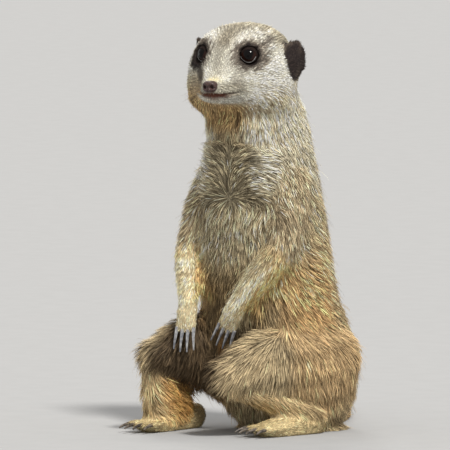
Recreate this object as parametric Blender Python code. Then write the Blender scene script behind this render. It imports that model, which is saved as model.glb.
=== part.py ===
"""A life-size meerkat sitting upright on its rump, hands hanging before its belly.

Each solid gives the outer form of the coat. The animal faces -Y with its left side at +X, and sits on z = 0.
Shapes are lofts of unlike oval sections along smooth lines. A limb's root sits in a socket of the part it
grows from, with a small clearance, and the head, neck, chest and rump are one form parted by flat cuts.
Sizes in this file are millimetres, measured from the point of the floor below the neck. Each mesh turns
them into metres and moves the origin to the middle of the seat.
"""

import math

import bmesh
import bpy
import numpy as np
from mathutils import Matrix, Vector

METRES = 0.001
GAP = 0.3
SEAT = Vector((0.0, 32.0, 0.0))

# Height and turn of the head. The head turns towards the animal's left.
HEAD_PIVOT = Vector((0.0, -10.8, 0.0))
HEAD_TURN = math.radians(12.0)
EYE_RADIUS = 5.8
EYE_SIDE = 14.6
EYE_FORWARD = 17.4
EYE_HEIGHT = 228.0
# The hollow before the eye: the way it opens, how far its centre lies before the eye's, and its half sizes.
ORBIT_OUT = (0.42, -0.9, 0.08)
ORBIT_FORWARD = 7.2
ORBIT_RADII = (7.4, 6.2, 6.6)
# The ear: its place, half sizes (thickness, depth, height), turn from the head's side, lean and curl.
EAR_SIDE = 31.5
EAR_BACK = 5.0
EAR_HEIGHT = 224.2
EAR_RADII = (1.9, 8.6, 12.2)
EAR_TURN = math.radians(-27.0)
EAR_LEAN = math.radians(8.0)
EAR_CURL = 0.016
NOSE_FORWARD = 38.0
NOSE_HEIGHT = 209.6

CLAW_RADIUS = 1.15
CLAW_TAPER = 0.62
CLAW_DEPTH = 1.25
CLAW_LENGTH = {"hand": 13.0, "foot": 9.0}
CLAW_DROOP = {"hand": 2.6, "foot": 3.0}
CLAW_ARCH = 1.2
FINGERS = 4
# How far the thigh's upper edge is raised by its coat.
THIGH_LIFT = {"left": 2.0, "right": 3.0}
HEEL_HEIGHT = 8.0
# How far the heel and the palm reach back past the ankle and the wrist, as a share of the foot and hand.
HEEL_BACK = 0.16
PALM_BACK = 0.15

SIDES = {"left": 1, "right": -1}
COLOURS = {
    "body_fur": (0.36, 0.29, 0.19),
    "face_fur": (0.55, 0.50, 0.40),
    "pale_fur": (0.62, 0.55, 0.40),
    "foot_fur": (0.40, 0.34, 0.23),
    "tail_fur": (0.38, 0.28, 0.16),
    "tail_tip_fur": (0.03, 0.022, 0.018),
    "ear_fur": (0.03, 0.022, 0.02),
    "eye": (0.015, 0.008, 0.006),
    "nose_skin": (0.045, 0.02, 0.017),
    "claw_horn": (0.16, 0.17, 0.19),
}
GLOSSY = {"eye": 0.05, "nose_skin": 0.45, "claw_horn": 0.35}
FUR_ROUGHNESS = 0.85
# Where the rings lie on the rounded end of a form, from its last section (0) to its pole (90 degrees).
CAP_ANGLES = (math.radians(35.0), math.radians(65.0))
SMALL_CAP_ANGLES = (math.radians(50.0),)


def clear_scene():
    for obj in list(bpy.data.objects):
        bpy.data.objects.remove(obj, do_unlink=True)


def material(slot):
    """The Principled material of one slot, made once."""
    found = bpy.data.materials.get(slot)
    if found:
        return found
    made = bpy.data.materials.new(slot)
    made.use_nodes = True
    shader = made.node_tree.nodes["Principled BSDF"]
    shader.inputs["Base Color"].default_value = (*COLOURS[slot], 1.0)
    shader.inputs["Roughness"].default_value = GLOSSY.get(slot, FUR_ROUGHNESS)
    shader.inputs["Metallic"].default_value = 0.0
    return made


def smooth_stations(stations, count):
    """Catmull-Rom curve through the rows of stations, read at count even steps."""
    rows = np.array(stations, dtype=float)
    padded = np.vstack([2 * rows[0] - rows[1], rows, 2 * rows[-1] - rows[-2]])
    at = np.linspace(0, len(rows) - 1, count)
    first = np.minimum(at.astype(int), len(rows) - 2)
    t = (at - first)[:, None]
    a, b, c, d = (padded[first + k] for k in range(4))
    return 0.5 * (2 * b + (c - a) * t + (2 * a - 5 * b + 4 * c - d) * t**2 + (3 * b - a - 3 * c + d) * t**3)


def loft_mesh(
    stations, count, around, up, power=2.0, low_power=None, grow=0.0, turn=None, cap_angles=CAP_ANGLES
):
    """A closed form through stations of (x, y, z, half width, reach up, reach down).

    Each ring is a superellipse whose upper and lower halves may reach unequally far, the lower one with its
    own power. Up is the direction that the reaches are measured along. Both ends close with a ring at each
    cap angle and a pole.
    """
    rows = smooth_stations(stations, count)
    rows[:, 3:] += grow
    centres = rows[:, :3]
    tangents = np.gradient(centres, axis=0)
    tangents /= np.linalg.norm(tangents, axis=1)[:, None]
    start, end = [], []
    for cap_angle in cap_angles:
        for caps, k, way in ((start, 0, -1.0), (end, -1, 1.0)):
            reach = rows[k, 3:].min()
            row = rows[k].copy()
            row[:3] += way * tangents[k] * reach * math.sin(cap_angle)
            row[3:] *= math.cos(cap_angle)
            caps.append((row, tangents[k]))
    poles = [centres[k] + way * tangents[k] * rows[k, 3:].min() for k, way in ((0, -1.0), (-1, 1.0))]
    if cap_angles:
        rows = np.vstack([[row for row, _ in reversed(start)], rows, [row for row, _ in end]])
        tangents = np.vstack([[t for _, t in start], tangents, [t for _, t in end]])
    ups = np.array(up, dtype=float) - tangents * (tangents @ np.array(up, dtype=float))[:, None]
    ups /= np.linalg.norm(ups, axis=1)[:, None]
    across = np.cross(ups, tangents)
    angle = np.arange(around) * 2 * math.pi / around
    bend = np.where(np.arange(around) > around / 2, 2.0 / (low_power or power), 2.0 / power)
    side = np.sign(np.cos(angle)) * np.abs(np.cos(angle)) ** bend
    rise = np.sign(np.sin(angle)) * np.abs(np.sin(angle)) ** bend
    reach = np.where(rise[None, :] > 0, rows[:, 4:5], rows[:, 5:6])
    points = (
        rows[:, None, :3]
        + across[:, None, :] * (rows[:, 3:4] * side)[:, :, None]
        + ups[:, None, :] * (reach * rise)[:, :, None]
    ).reshape(-1, 3)
    points = np.vstack([points, poles])
    faces = []
    rings = len(rows)
    for ring in range(rings - 1):
        for k in range(around):
            here, there = ring * around + k, ring * around + (k + 1) % around
            faces.append((here, there, there + around, here + around))
    for k in range(around):
        last = (rings - 1) * around
        faces.append(((k + 1) % around, k, rings * around))
        faces.append((last + k, last + (k + 1) % around, rings * around + 1))
    form = bmesh.new()
    corners = [form.verts.new(point) for point in points]
    for face in faces:
        form.faces.new([corners[k] for k in face])
    if turn is not None:
        form.transform(turn)
    bmesh.ops.recalc_face_normals(form, faces=form.faces)
    return form


def ball_mesh(centre, radii, grow=0.0, turn=None, around=10, rings=8):
    """An ellipsoid from the sphere primitive, turned about its own centre."""
    form = bmesh.new()
    bmesh.ops.create_uvsphere(form, u_segments=around, v_segments=rings, radius=1.0)
    scale = Matrix.Diagonal((*(r + grow for r in radii), 1.0))
    form.transform(Matrix.Translation(centre) @ (turn or Matrix()) @ scale)
    return form


def keep_side(form, point, normal):
    """Keep what lies on the normal's side of a plane, and close the cut with one flat face."""
    everything = form.verts[:] + form.edges[:] + form.faces[:]
    bmesh.ops.bisect_plane(
        form, geom=everything, plane_co=point, plane_no=normal, dist=1e-4, clear_inner=True, clear_outer=False
    )
    rim = [edge for edge in form.edges if edge.is_boundary]
    if rim:
        bmesh.ops.holes_fill(form, edges=rim)
    bmesh.ops.recalc_face_normals(form, faces=form.faces)
    return form


def on_floor(form, grow=0.0):
    """Flatten the form where it would pass below the floor. A cutter, which is grown, passes through it."""
    return form if grow else keep_side(form, (0, 0, 0), (0, 0, 1))


def add_object(name, form, slot):
    """Turn a form into a named object of triangles, shaded smooth, in millimetres until to_metres."""
    bmesh.ops.triangulate(form, faces=form.faces)
    mesh = bpy.data.meshes.new(name)
    form.to_mesh(mesh)
    form.free()
    mesh.shade_smooth()
    mesh.materials.append(material(slot))
    obj = bpy.data.objects.new(name, mesh)
    bpy.data.collections["meerkat"].objects.link(obj)
    return obj


def combine(obj, tool, operation):
    """Apply one Boolean to obj and remove the tool. Where fingers crowd together, EXACT leaves open edges."""
    step = obj.modifiers.new(operation.lower(), "BOOLEAN")
    step.operation = operation
    step.solver = "MANIFOLD" if obj.name.startswith("hand_") else "EXACT"
    step.object = tool
    bpy.context.view_layer.update()
    seen = obj.evaluated_get(bpy.context.evaluated_depsgraph_get())
    mesh = bpy.data.meshes.new_from_object(seen)
    obj.modifiers.clear()
    obj.data = mesh
    bpy.data.objects.remove(tool, do_unlink=True)


def join_forms(name, forms, slot):
    """One object from forms that overlap."""
    obj = add_object(name, forms[0], slot)
    for form in forms[1:]:
        combine(obj, add_object("joined", form, slot), "UNION")
    return obj


def near(one, other):
    """Whether the boxes of two objects touch."""
    boxes = []
    for obj in (one, other):
        points = np.array([vert.co for vert in obj.data.vertices])
        boxes.append((points.min(0), points.max(0)))
    (low_a, high_a), (low_b, high_b) = boxes
    return bool(np.all(low_a < high_b) and np.all(low_b < high_a))


def head_turn():
    """From head coordinates, facing -Y with the skull's middle at x = y = 0, to the body's."""
    return Matrix.Translation(HEAD_PIVOT) @ Matrix.Rotation(HEAD_TURN, 4, "Z")


# How square the sections are: 2 is an oval. The skull's lower half is fuller, for the hair of the cheeks.
SKULL_POWER = 2.3
CHEEK_POWER = 3.4
TRUNK_POWER = 2.15
# Head stations: (x, y, z, half width, reach up, reach down), from the nape forward to the lip.
SKULL = [
    (0, 20, 205, 25.5, 30, 19),
    (0, 11, 207, 33, 37, 20.5),
    (0, 2, 208.5, 35, 39, 21),
    (0, -5, 209.5, 34.5, 37.5, 20),
    (0, -12, 210, 32.5, 35, 17.5),
    (0, -19, 209.7, 26.5, 28.5, 13),
    (0, -25, 208.7, 18, 19.5, 10.6),
    (0, -30, 208.0, 12.4, 12.0, 8.0),
    (0, -34.5, 207.8, 8.8, 7.4, 5.2),
]
# Trunk stations: (x, y, z, half width, reach back, reach forward), from the seat up to the nape.
TRUNK = [
    (0, 34, 3, 33, 30, 26),
    (0, 30, 20, 43, 41, 37),
    (0, 27, 42, 44, 45, 42),
    (-3, 23, 62, 43.5, 38, 42),
    (-4, 18, 85, 43.5, 34.5, 41.5),
    (-2.5, 13, 109, 41.5, 35.5, 39),
    (-1, 8, 130, 38.5, 36, 36.5),
    (0, 4, 150, 36.5, 35.5, 34),
    (0, 3, 165, 35, 33.5, 32),
    (0, 2, 178, 32, 31, 28),
    (0, -2, 192, 31, 30, 28),
    (0, -6, 206, 27, 26, 23),
]


def torso_form():
    """Trunk, neck and head as one solid, before it is parted."""
    trunk = on_floor(loft_mesh(TRUNK, 13, 18, (0, 1, 0), power=TRUNK_POWER))
    skull = loft_mesh(
        SKULL, 12, 20, (0, 0, 1), power=SKULL_POWER, low_power=CHEEK_POWER, turn=head_turn()
    )
    return join_forms("torso", [trunk, skull], "body_fur")


def eye_centre(side):
    return Vector((EYE_SIDE * side, -EYE_FORWARD, EYE_HEIGHT))


def eye_form(side, grow=0.0):
    form = ball_mesh(eye_centre(side), (EYE_RADIUS,) * 3, grow, around=10, rings=7)
    form.transform(head_turn())
    return form


def orbit_form(side):
    """The hollow between brow and cheek that leaves the front of the eye open."""
    outward = Vector((ORBIT_OUT[0] * side, *ORBIT_OUT[1:])).normalized()
    turn = Vector((0, -1, 0)).rotation_difference(outward).to_matrix().to_4x4()
    form = ball_mesh(eye_centre(side) + outward * ORBIT_FORWARD, ORBIT_RADII, turn=turn, around=10, rings=6)
    form.transform(head_turn())
    return form


def ear_form(side, grow=0.0):
    """A low crescent flap that stands a little off the head along its rear edge."""
    turn = Matrix.Rotation(EAR_TURN * side, 4, "Z") @ Matrix.Rotation(EAR_LEAN * side, 4, "Y")
    form = ball_mesh((0, 0, 0), EAR_RADII, grow, around=9, rings=7)
    for vert in form.verts:
        vert.co.x += side * EAR_CURL * vert.co.y**2
    form.transform(head_turn() @ Matrix.Translation((EAR_SIDE * side, EAR_BACK, EAR_HEIGHT)) @ turn)
    return form


def nose_form(grow=0.0):
    """The bare pad at the tip of the muzzle."""
    stations = [
        (0, -NOSE_FORWARD + 3.0, NOSE_HEIGHT, 4.8, 3.8, 3.8),
        (0, -NOSE_FORWARD - 1.0, NOSE_HEIGHT, 4.9, 3.8, 3.8),
        (0, -NOSE_FORWARD - 3.4, NOSE_HEIGHT - 0.4, 3.6, 2.7, 2.9),
    ]
    return loft_mesh(
        stations, 4, 10, (0, 0, 1), power=2.3, grow=grow, turn=head_turn(), cap_angles=SMALL_CAP_ANGLES
    )


# Limb joints, as points of the animal's left or right side, and stations between them.
ARMS = {
    "left": [(27, 1, 157), (34, -13.5, 113), (9.5, -27.5, 78), (4, -27.5, 68)],
    "right": [(-27, -2, 157), (-41, -11, 110), (-25, -32, 78), (-24, -35, 67)],
}
LEGS = {
    "left": [(27, 24, 44), (12, -44, 37), (32, 12, 13), (27.5, -22, 5)],
    "right": [(-27, 22, 45), (-45, -42, 46), (-47, -8, 13), (-46, -45, 5)],
}
# Height of the hem of the shin's hair above the floor.
SHIN_HEM = 3.0
# How far the long hair before and behind the shin makes its lower half deeper.
SHIN_FUR = {"left": 0.0, "right": 11.0}
HAND_ACROSS = {"left": (0.92, 0.38, 0.0), "right": (0.90, 0.43, 0.0)}
LEG_UP = (0.0, -0.25, 1.0)


def between(start, end, rows):
    """Stations from start to end: rows of (share of the way, three half sizes, sideways shift)."""
    start, end = Vector(start), Vector(end)
    stations = []
    for share, width, up, down, shift in rows:
        centre = start.lerp(end, share) + Vector(shift)
        stations.append((*centre, width, up, down))
    return stations


def upper_arm_form(name, grow=0.0):
    shoulder, elbow = ARMS[name][:2]
    side = SIDES[name]
    rows = [
        (0.0, 11.0, 14.0, 14.0, (0, 0, 0)),
        (0.4, 11.5, 14.5, 14.0, (1.5 * side, 0, 0)),
        (0.8, 10.5, 13.5, 12.0, (1.0 * side, 0, 0)),
        (1.0, 9.6, 12.0, 10.5, (0, 0, 0)),
    ]
    return loft_mesh(between(shoulder, elbow, rows), 6, 10, (0, 1, 0), grow=grow)


def forearm_form(name, grow=0.0):
    elbow, wrist = ARMS[name][1:3]
    side = SIDES[name]
    rows = [
        (0.0, 9.4, 11.0, 10.5, (0, 0, 0)),
        (0.3, 9.4, 10.5, 10.0, (1.0 * side, 0, 0)),
        (0.65, 8.0, 8.4, 8.2, (0.6 * side, 0, 0)),
        (0.95, 6.6, 6.2, 6.2, (0, 0, 0)),
    ]
    return loft_mesh(between(elbow, wrist, rows), 6, 10, (0, 1, 0), grow=grow)


def digit_frame(name, limb):
    """Origin of the digits' row, the way they point, the way the row runs and the way their backs face."""
    if limb == "hand":
        wrist, knuckles = (Vector(point) for point in ARMS[name][2:4])
        along = (knuckles - wrist).normalized()
        across = Vector(HAND_ACROSS[name])
    else:
        ankle, ball = (Vector(point) for point in LEGS[name][2:4])
        along = Vector((ball.x - ankle.x, ball.y - ankle.y, 0.0)).normalized()
        across = along.cross(Vector((0, 0, 1)))
        knuckles = ball
    across = (across - along * across.dot(along)).normalized()
    back = across.cross(along)
    front = Vector((0, -1, 0)) if limb == "hand" else Vector((0, 0, 1))
    if back.dot(front) < 0:
        back = -back
    return knuckles, along, across, back


# How far a digit's root is sunk in the palm or sole, in radii of the root.
DIGIT_SUNK = 1.6
# Spacing, spread, length, radius at the root and at the tip, and how far the outer digits lie back.
DIGITS = {
    "hand": (3.1, 0.06, 5.0, 2.5, 1.9, 1.4),
    "foot": (5.0, 0.09, 8.5, 3.5, 2.7, 2.6),
}


def digit_line(name, limb, index):
    """Root, tip and direction of one digit, the middle ones longest."""
    knuckles, along, across, _ = digit_frame(name, limb)
    spacing, spread, length, _, _, drop = DIGITS[limb]
    place = index - (FINGERS - 1) / 2
    way = (along + across * spread * place).normalized()
    root = knuckles + across * spacing * place - along * drop * (abs(place) - 0.5)
    return root, root + way * length, way


def digit_forms(name, limb, grow):
    _, _, _, back = digit_frame(name, limb)
    _, _, _, thick, thin, _ = DIGITS[limb]
    forms = []
    for index in range(FINGERS):
        root, tip, way = digit_line(name, limb, index)
        start = root - way * thick * DIGIT_SUNK
        stations = [(*start, thick, thick, thick), (*tip, thin, thin, thin)]
        forms.append(loft_mesh(stations, 2, 6, back, grow=grow, cap_angles=SMALL_CAP_ANGLES))
    return forms


def claw_form(name, limb, index, grow=0.0):
    """A tapering horn that starts inside the digit's tip and bends down and back from it."""
    _, _, _, back = digit_frame(name, limb)
    _, tip, way = digit_line(name, limb, index)
    stations = []
    for share in (0.0, 0.35, 0.7, 1.0):
        bend = CLAW_ARCH * share - CLAW_DROOP[limb] * share**2
        centre = tip + way * CLAW_LENGTH[limb] * share + back * bend
        radius = CLAW_RADIUS * (1.0 - CLAW_TAPER * share)
        stations.append((*centre, radius, radius * CLAW_DEPTH, radius * CLAW_DEPTH))
    return loft_mesh(stations, 4, 5, back, grow=grow, cap_angles=())


def hand_object(name, grow=0.0):
    wrist, knuckles = (Vector(point) for point in ARMS[name][2:4])
    _, _, _, back = digit_frame(name, "hand")
    start = wrist + (wrist - knuckles) * PALM_BACK
    rows = [
        (0.0, 6.0, 5.6, 5.6, (0, 0, 0)),
        (0.5, 7.2, 4.9, 4.9, (0, 0, 0)),
        (0.95, 6.9, 3.6, 3.6, (0, 0, 0)),
    ]
    palm = loft_mesh(
        between(start, knuckles, rows), 3, 8, back, power=2.2, grow=grow, cap_angles=SMALL_CAP_ANGLES
    )
    return join_forms(f"hand_{name}", [palm, *digit_forms(name, "hand", grow)], "pale_fur")


def thigh_form(name, grow=0.0):
    """Haunch and thigh: deep and rounded at the hip, narrow at the knee."""
    hip, knee = LEGS[name][:2]
    side = SIDES[name]
    lift = THIGH_LIFT[name]
    rows = [
        (-0.12, 21.0, 25.0, 31.0, (0, 0, 0)),
        (0.15, 22.5, 28.0, 33.0, (1.0 * side, 0, 0)),
        (0.45, 19.0, 24.5 + lift, 22.0, (1.5 * side, 0, 0)),
        (0.75, 15.5, 19.0 + lift, 15.0, (1.0 * side, 0, 0)),
        (0.95, 12.0, 13.5, 12.0, (0, 0, 0)),
    ]
    return on_floor(loft_mesh(between(hip, knee, rows), 7, 12, LEG_UP, grow=grow), grow)


def shin_form(name, grow=0.0):
    knee, ankle = LEGS[name][1:3]
    deep = SHIN_FUR[name]
    rows = [
        (0.05, 10.0, 10.5, 10.5, (0, 0, 0)),
        (0.35, 11.0, 9.0 + deep * 0.3, 10.0 + deep * 0.2, (0, -0.5 * deep, 0)),
        (0.75, 11.5, 9.0 + deep * 0.9, 9.0 + deep * 0.9, (0, -1.3 * deep, 0)),
        (1.0, 11.0, 8.0 + deep, 8.0 + deep, (0, -1.4 * deep, 0)),
    ]
    form = loft_mesh(between(knee, ankle, rows), 5, 10, (0, 1, 0.2), grow=grow)
    return keep_side(form, (0, 0, SHIN_HEM - grow), (0, 0, 1))


def foot_object(name, grow=0.0):
    ankle, ball = (Vector(point) for point in LEGS[name][2:4])
    heel = ankle + (ankle - ball) * HEEL_BACK
    heel.z = HEEL_HEIGHT
    rows = [
        (0.0, 7.6, 7.5, 9.0, (0, 0, 0)),
        (0.35, 8.6, 8.0, 9.0, (0, 0, 0)),
        (0.75, 9.6, 6.0, 8.0, (0, 0, 0)),
        (1.0, 9.4, 4.0, 6.0, (0, 0, 0)),
    ]
    sole = on_floor(loft_mesh(between(heel, ball, rows), 4, 9, (0, 0, 1), power=2.2, grow=grow), grow)
    toes = [on_floor(form, grow) for form in digit_forms(name, "foot", grow)]
    return join_forms(f"foot_{name}", [sole, *toes], "foot_fur")


# Tail: (x, y, z, half width, reach up, reach down), from inside the rump to the tip.
TAIL = [
    (0, 56, 13, 10.5, 10, 12),
    (-7, 80, 8.2, 8.0, 7.4, 9),
    (-25, 106, 6.9, 7.0, 6.4, 8),
    (-49, 132, 6.2, 6.3, 5.8, 7),
    (-75, 155, 5.6, 5.6, 5.2, 6.2),
    (-102, 173, 5.0, 5.0, 4.8, 5.6),
    (-128, 184, 3.6, 3.4, 3.3, 4.2),
]
TAIL_CUTS = [((-17, 95, 6), (-0.5, 0.86, 0)), ((-62, 144, 6), (-0.75, 0.66, 0))]


def tail_form(grow=0.0):
    return on_floor(loft_mesh(TAIL, 11, 8, (0, 0, 1), grow=grow, cap_angles=SMALL_CAP_ANGLES), grow)


def part_along(form, names, cuts, slots):
    """Named objects between successive flat cuts, each half a clearance back from its cuts."""
    for k, name in enumerate(names):
        piece = form.copy()
        if k > 0:
            point, normal = Vector(cuts[k - 1][0]), Vector(cuts[k - 1][1]).normalized()
            keep_side(piece, point + normal * GAP / 2, normal)
        if k < len(cuts):
            point, normal = Vector(cuts[k][0]), Vector(cuts[k][1]).normalized()
            keep_side(piece, point - normal * GAP / 2, -normal)
        add_object(name, piece, slots[k])
    form.free()


def back_to_form(obj):
    """The form of an object, which is removed."""
    form = bmesh.new()
    form.from_mesh(obj.data)
    bpy.data.objects.remove(obj, do_unlink=True)
    return form


def to_metres():
    """Give every mesh its real size, seen from the middle of the seat."""
    for obj in bpy.data.collections["meerkat"].objects:
        obj.data.transform(Matrix.Scale(METRES, 4) @ Matrix.Translation(-SEAT))


def keep_largest(obj):
    """Drop the crumbs that a socket cuts loose from the far side of a joint."""
    form = bmesh.new()
    form.from_mesh(obj.data)
    waiting = set(form.verts)
    bodies = []
    while waiting:
        body, edge_of = set(), [waiting.pop()]
        while edge_of:
            vert = edge_of.pop()
            body.add(vert)
            for link in vert.link_edges:
                other = link.other_vert(vert)
                if other in waiting:
                    waiting.discard(other)
                    edge_of.append(other)
        bodies.append(body)
    bodies.sort(key=len)
    crumbs = [vert for body in bodies[:-1] for vert in body]
    bmesh.ops.delete(form, geom=crumbs, context="VERTS")
    form.to_mesh(obj.data)
    form.free()


def carve(obj, makers):
    """Cut a clearance round each neighbour out of obj. Makers build the neighbours a gap larger."""
    for make in makers:
        tool = make(GAP)
        if isinstance(tool, bmesh.types.BMesh):
            tool = add_object("tool", tool, "body_fur")
        if near(obj, tool):
            combine(obj, tool, "DIFFERENCE")
        else:
            bpy.data.objects.remove(tool, do_unlink=True)
    keep_largest(obj)


# The flat cuts across the torso, from the seat up: (point, normal).
TORSO_NODES = ["rump", "chest", "neck", "head"]
TORSO_SLOTS = ["body_fur", "body_fur", "body_fur", "face_fur"]
TORSO_CUTS = [((0, 16, 84), (0, -0.1, 1)), ((0, 2, 168), (0, -0.1, 1)), ((0, -6, 197), (0, -0.2, 1))]


def build_limbs():
    """Arms and legs, each segment cut back from the segment above it."""
    for name in SIDES:
        add_object(f"upper_arm_{name}", upper_arm_form(name), "body_fur")
        forearm = add_object(f"forearm_{name}", forearm_form(name), "pale_fur")
        carve(forearm, [lambda grow, n=name: upper_arm_form(n, grow)])
        hand = hand_object(name)
        carve(hand, [lambda grow, n=name: forearm_form(n, grow)])
        add_object(f"thigh_{name}", thigh_form(name), "body_fur")
        foot = foot_object(name)
        carve(foot, [lambda grow, n=name: thigh_form(n, grow)])
        shin = add_object(f"shin_{name}", shin_form(name), "body_fur")
        carve(shin, [lambda grow, n=name: thigh_form(n, grow), lambda grow, n=name: foot_object(n, grow)])
        for limb, obj in (("hand", hand), ("foot", foot)):
            for index in range(FINGERS):
                claw = claw_form(name, limb, index)
                add_object(f"claw_{limb}_{name}_{index + 1}", on_floor(claw), "claw_horn")
                carve(obj, [lambda grow, n=name, m=limb, k=index: claw_form(n, m, k, grow)])


def build_torso():
    torso = torso_form()
    part_along(back_to_form(torso), TORSO_NODES, TORSO_CUTS, TORSO_SLOTS)
    limbs = []
    for name in SIDES:
        limbs += [
            lambda grow, n=name: upper_arm_form(n, grow),
            lambda grow, n=name: forearm_form(n, grow),
            lambda grow, n=name: thigh_form(n, grow),
            lambda grow, n=name: shin_form(n, grow),
            lambda grow, n=name: foot_object(n, grow),
            lambda grow, n=name: hand_object(n, grow),
        ]
    for node in ("rump", "chest", "neck"):
        carve(bpy.data.objects[node], [*limbs, tail_form])


def build_face():
    head = bpy.data.objects["head"]
    carve(head, [nose_form])
    add_object("nose", nose_form(), "nose_skin")
    for name, side in SIDES.items():
        add_object(f"eye_{name}", eye_form(side), "eye")
        add_object(f"ear_{name}", ear_form(side), "ear_fur")
        combine(head, add_object("tool", orbit_form(side), "face_fur"), "DIFFERENCE")
        carve(head, [lambda grow, s=side: eye_form(s, grow), lambda grow, s=side: ear_form(s, grow)])


def build():
    clear_scene()
    bpy.context.scene.collection.children.link(bpy.data.collections.new("meerkat"))
    build_limbs()
    build_torso()
    build_face()
    part_along(
        tail_form(),
        ["tail_root", "tail_middle", "tail_tip"],
        TAIL_CUTS,
        ["tail_fur", "tail_fur", "tail_tip_fur"],
    )
    to_metres()


build()
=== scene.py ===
"""Looks of a life-size meerkat sitting upright: one skin under a coat of tapered locks, with eyes, lids,
nose pad, whiskers and claws. Lengths are millimetres in the part's own frame until a mesh is made."""

import math

import bmesh
import bpy
import numpy as np
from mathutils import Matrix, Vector


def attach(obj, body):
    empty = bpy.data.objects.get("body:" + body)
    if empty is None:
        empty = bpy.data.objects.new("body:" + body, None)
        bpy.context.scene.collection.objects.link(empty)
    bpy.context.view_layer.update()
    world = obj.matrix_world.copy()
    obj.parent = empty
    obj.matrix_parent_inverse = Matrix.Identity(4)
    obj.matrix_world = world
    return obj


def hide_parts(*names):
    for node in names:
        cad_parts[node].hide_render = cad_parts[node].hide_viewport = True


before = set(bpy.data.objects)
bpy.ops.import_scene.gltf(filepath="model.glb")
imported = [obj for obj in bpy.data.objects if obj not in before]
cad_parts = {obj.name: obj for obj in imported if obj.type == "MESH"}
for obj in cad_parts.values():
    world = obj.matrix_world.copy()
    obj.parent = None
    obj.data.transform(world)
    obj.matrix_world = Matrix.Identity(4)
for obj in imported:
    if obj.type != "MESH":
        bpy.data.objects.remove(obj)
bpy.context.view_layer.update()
MM = 0.001
SIDES = {"left": 1.0, "right": -1.0}

# ------------------------------------------------ landmarks, as the part's source gives them
HEAD_PIVOT = np.array([0.0, -42.8, 0.0])
HEAD_TURN = math.radians(12.0)
EYE = np.array([14.6, -17.4, 228.0])
EYE_RADIUS = 5.8
GAZE = np.array([0.36, -0.92, 0.03])
GAZE /= np.linalg.norm(GAZE)
EAR = np.array([31.5, 5.0, 224.2])
EAR_HALF = (8.6, 12.2)
NOSE = np.array([0.0, -39.0, 209.6])
# Shoulder, elbow, wrist, knuckles; and hip, knee, ankle, ball of the foot.
ARMS = {
    "left": [(27, -31, 157), (34, -45.5, 113), (9.5, -59.5, 78), (4, -59.5, 68)],
    "right": [(-27, -34, 157), (-41, -43, 110), (-25, -64, 78), (-24, -67, 67)],
}
LEGS = {
    "left": [(27, -8, 44), (12, -76, 37), (32, -20, 13), (27.5, -54, 5)],
    "right": [(-27, -10, 45), (-45, -74, 46), (-47, -40, 13), (-46, -77, 5)],
}
TAIL = [(0, 24, 13), (-7, 48, 8), (-25, 74, 7), (-49, 100, 6), (-75, 123, 6), (-102, 141, 5), (-128, 152, 4)]
# Where the hair of the breast and of the front of each shoulder parts.
BREAST_WHORL = np.array([1.5, -62.0, 143.0])
SHOULDER_WHORL = np.array([30.0, -54.0, 134.0])
# Where the hair of the thigh fans out, at the top of the fold before the haunch.
THIGH_FAN = {"left": np.array([37.0, -46.0, 66.0]), "right": np.array([-40.0, -44.0, 68.0])}

# ---------------------------------------------------------------- kinds of coat
# Length, width, depth over the skin, locks per square millimetre, how far locks lean together, share of
# dark ticking, how far the tips wander, and how strongly pale and dark streaks differ.
COLUMNS = ("length", "width", "depth", "dense", "clump", "tick", "wander", "contrast")
COATS = {
    "head": (2.8, 0.25, 1.1, 3.4, 0.03, 0.36, 0.10, 0.50),
    "neck": (6.3, 0.30, 2.4, 2.4, 0.15, 0.24, 0.10, 0.54),
    "chest": (7.0, 0.30, 3.1, 1.85, 0.16, 0.30, 0.12, 0.70),
    "rump": (9.2, 0.36, 3.3, 1.5, 0.22, 0.30, 0.12, 0.56),
    "upper_arm": (6.6, 0.31, 2.6, 1.9, 0.18, 0.28, 0.12, 0.66),
    "forearm": (5.0, 0.29, 1.8, 2.3, 0.12, 0.14, 0.10, 0.44),
    "hand": (2.8, 0.26, 0.7, 2.8, 0.08, 0.10, 0.08, 0.30),
    "thigh": (10.5, 0.35, 3.1, 1.6, 0.26, 0.20, 0.07, 0.52),
    "shin": (10.0, 0.37, 2.8, 1.7, 0.35, 0.18, 0.12, 0.54),
    "foot": (3.0, 0.29, 0.6, 2.2, 0.08, 0.14, 0.08, 0.34),
    "tail": (7.5, 0.35, 2.2, 1.8, 0.20, 0.28, 0.10, 0.44),
    "tail_tip": (9.0, 0.36, 2.0, 1.8, 0.28, 0.10, 0.12, 0.30),
    "ear": (2.2, 0.22, 0.3, 4.0, 0.03, 0.10, 0.12, 0.44),
}
KINDS = list(COATS)
# The nodes that grow each kind of coat: one on each side, or one on the middle line.
PAIRED = ("upper_arm", "forearm", "hand", "thigh", "shin", "foot", "ear")
NODES = {kind: [f"{kind}_{side}" for side in SIDES] if kind in PAIRED else [kind] for kind in KINDS}
NODES["tail"] = ["tail_root", "tail_middle"]
FLESH = [node for kind in KINDS for node in NODES[kind]]
# The joints that the coat of each length of limb runs between: whose, and from which one to the next.
LIMBS = {
    "upper_arm": (ARMS, 0),
    "forearm": (ARMS, 1),
    "hand": (ARMS, 2),
    "thigh": (LEGS, 0),
    "shin": (LEGS, 1),
    "foot": (LEGS, 2),
}


def srgb(red, green, blue):
    """A linear colour from display values of 0 to 255."""
    shown = np.array([red, green, blue]) / 255.0
    return np.where(shown <= 0.04045, shown / 12.92, ((shown + 0.055) / 1.055) ** 2.4)


# ---------------------------------------------------------------- small tools on arrays of points
def unit(vectors):
    """Each vector over its own length."""
    return vectors / np.maximum(np.linalg.norm(vectors, axis=-1, keepdims=True), 1e-9)


def ramp(low, high, x):
    """0 below low, 1 above high, with a smooth rise between; it falls where low is over high."""
    t = np.clip((x - low) / (high - low), 0.0, 1.0)
    return t * t * (3 - 2 * t)


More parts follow.
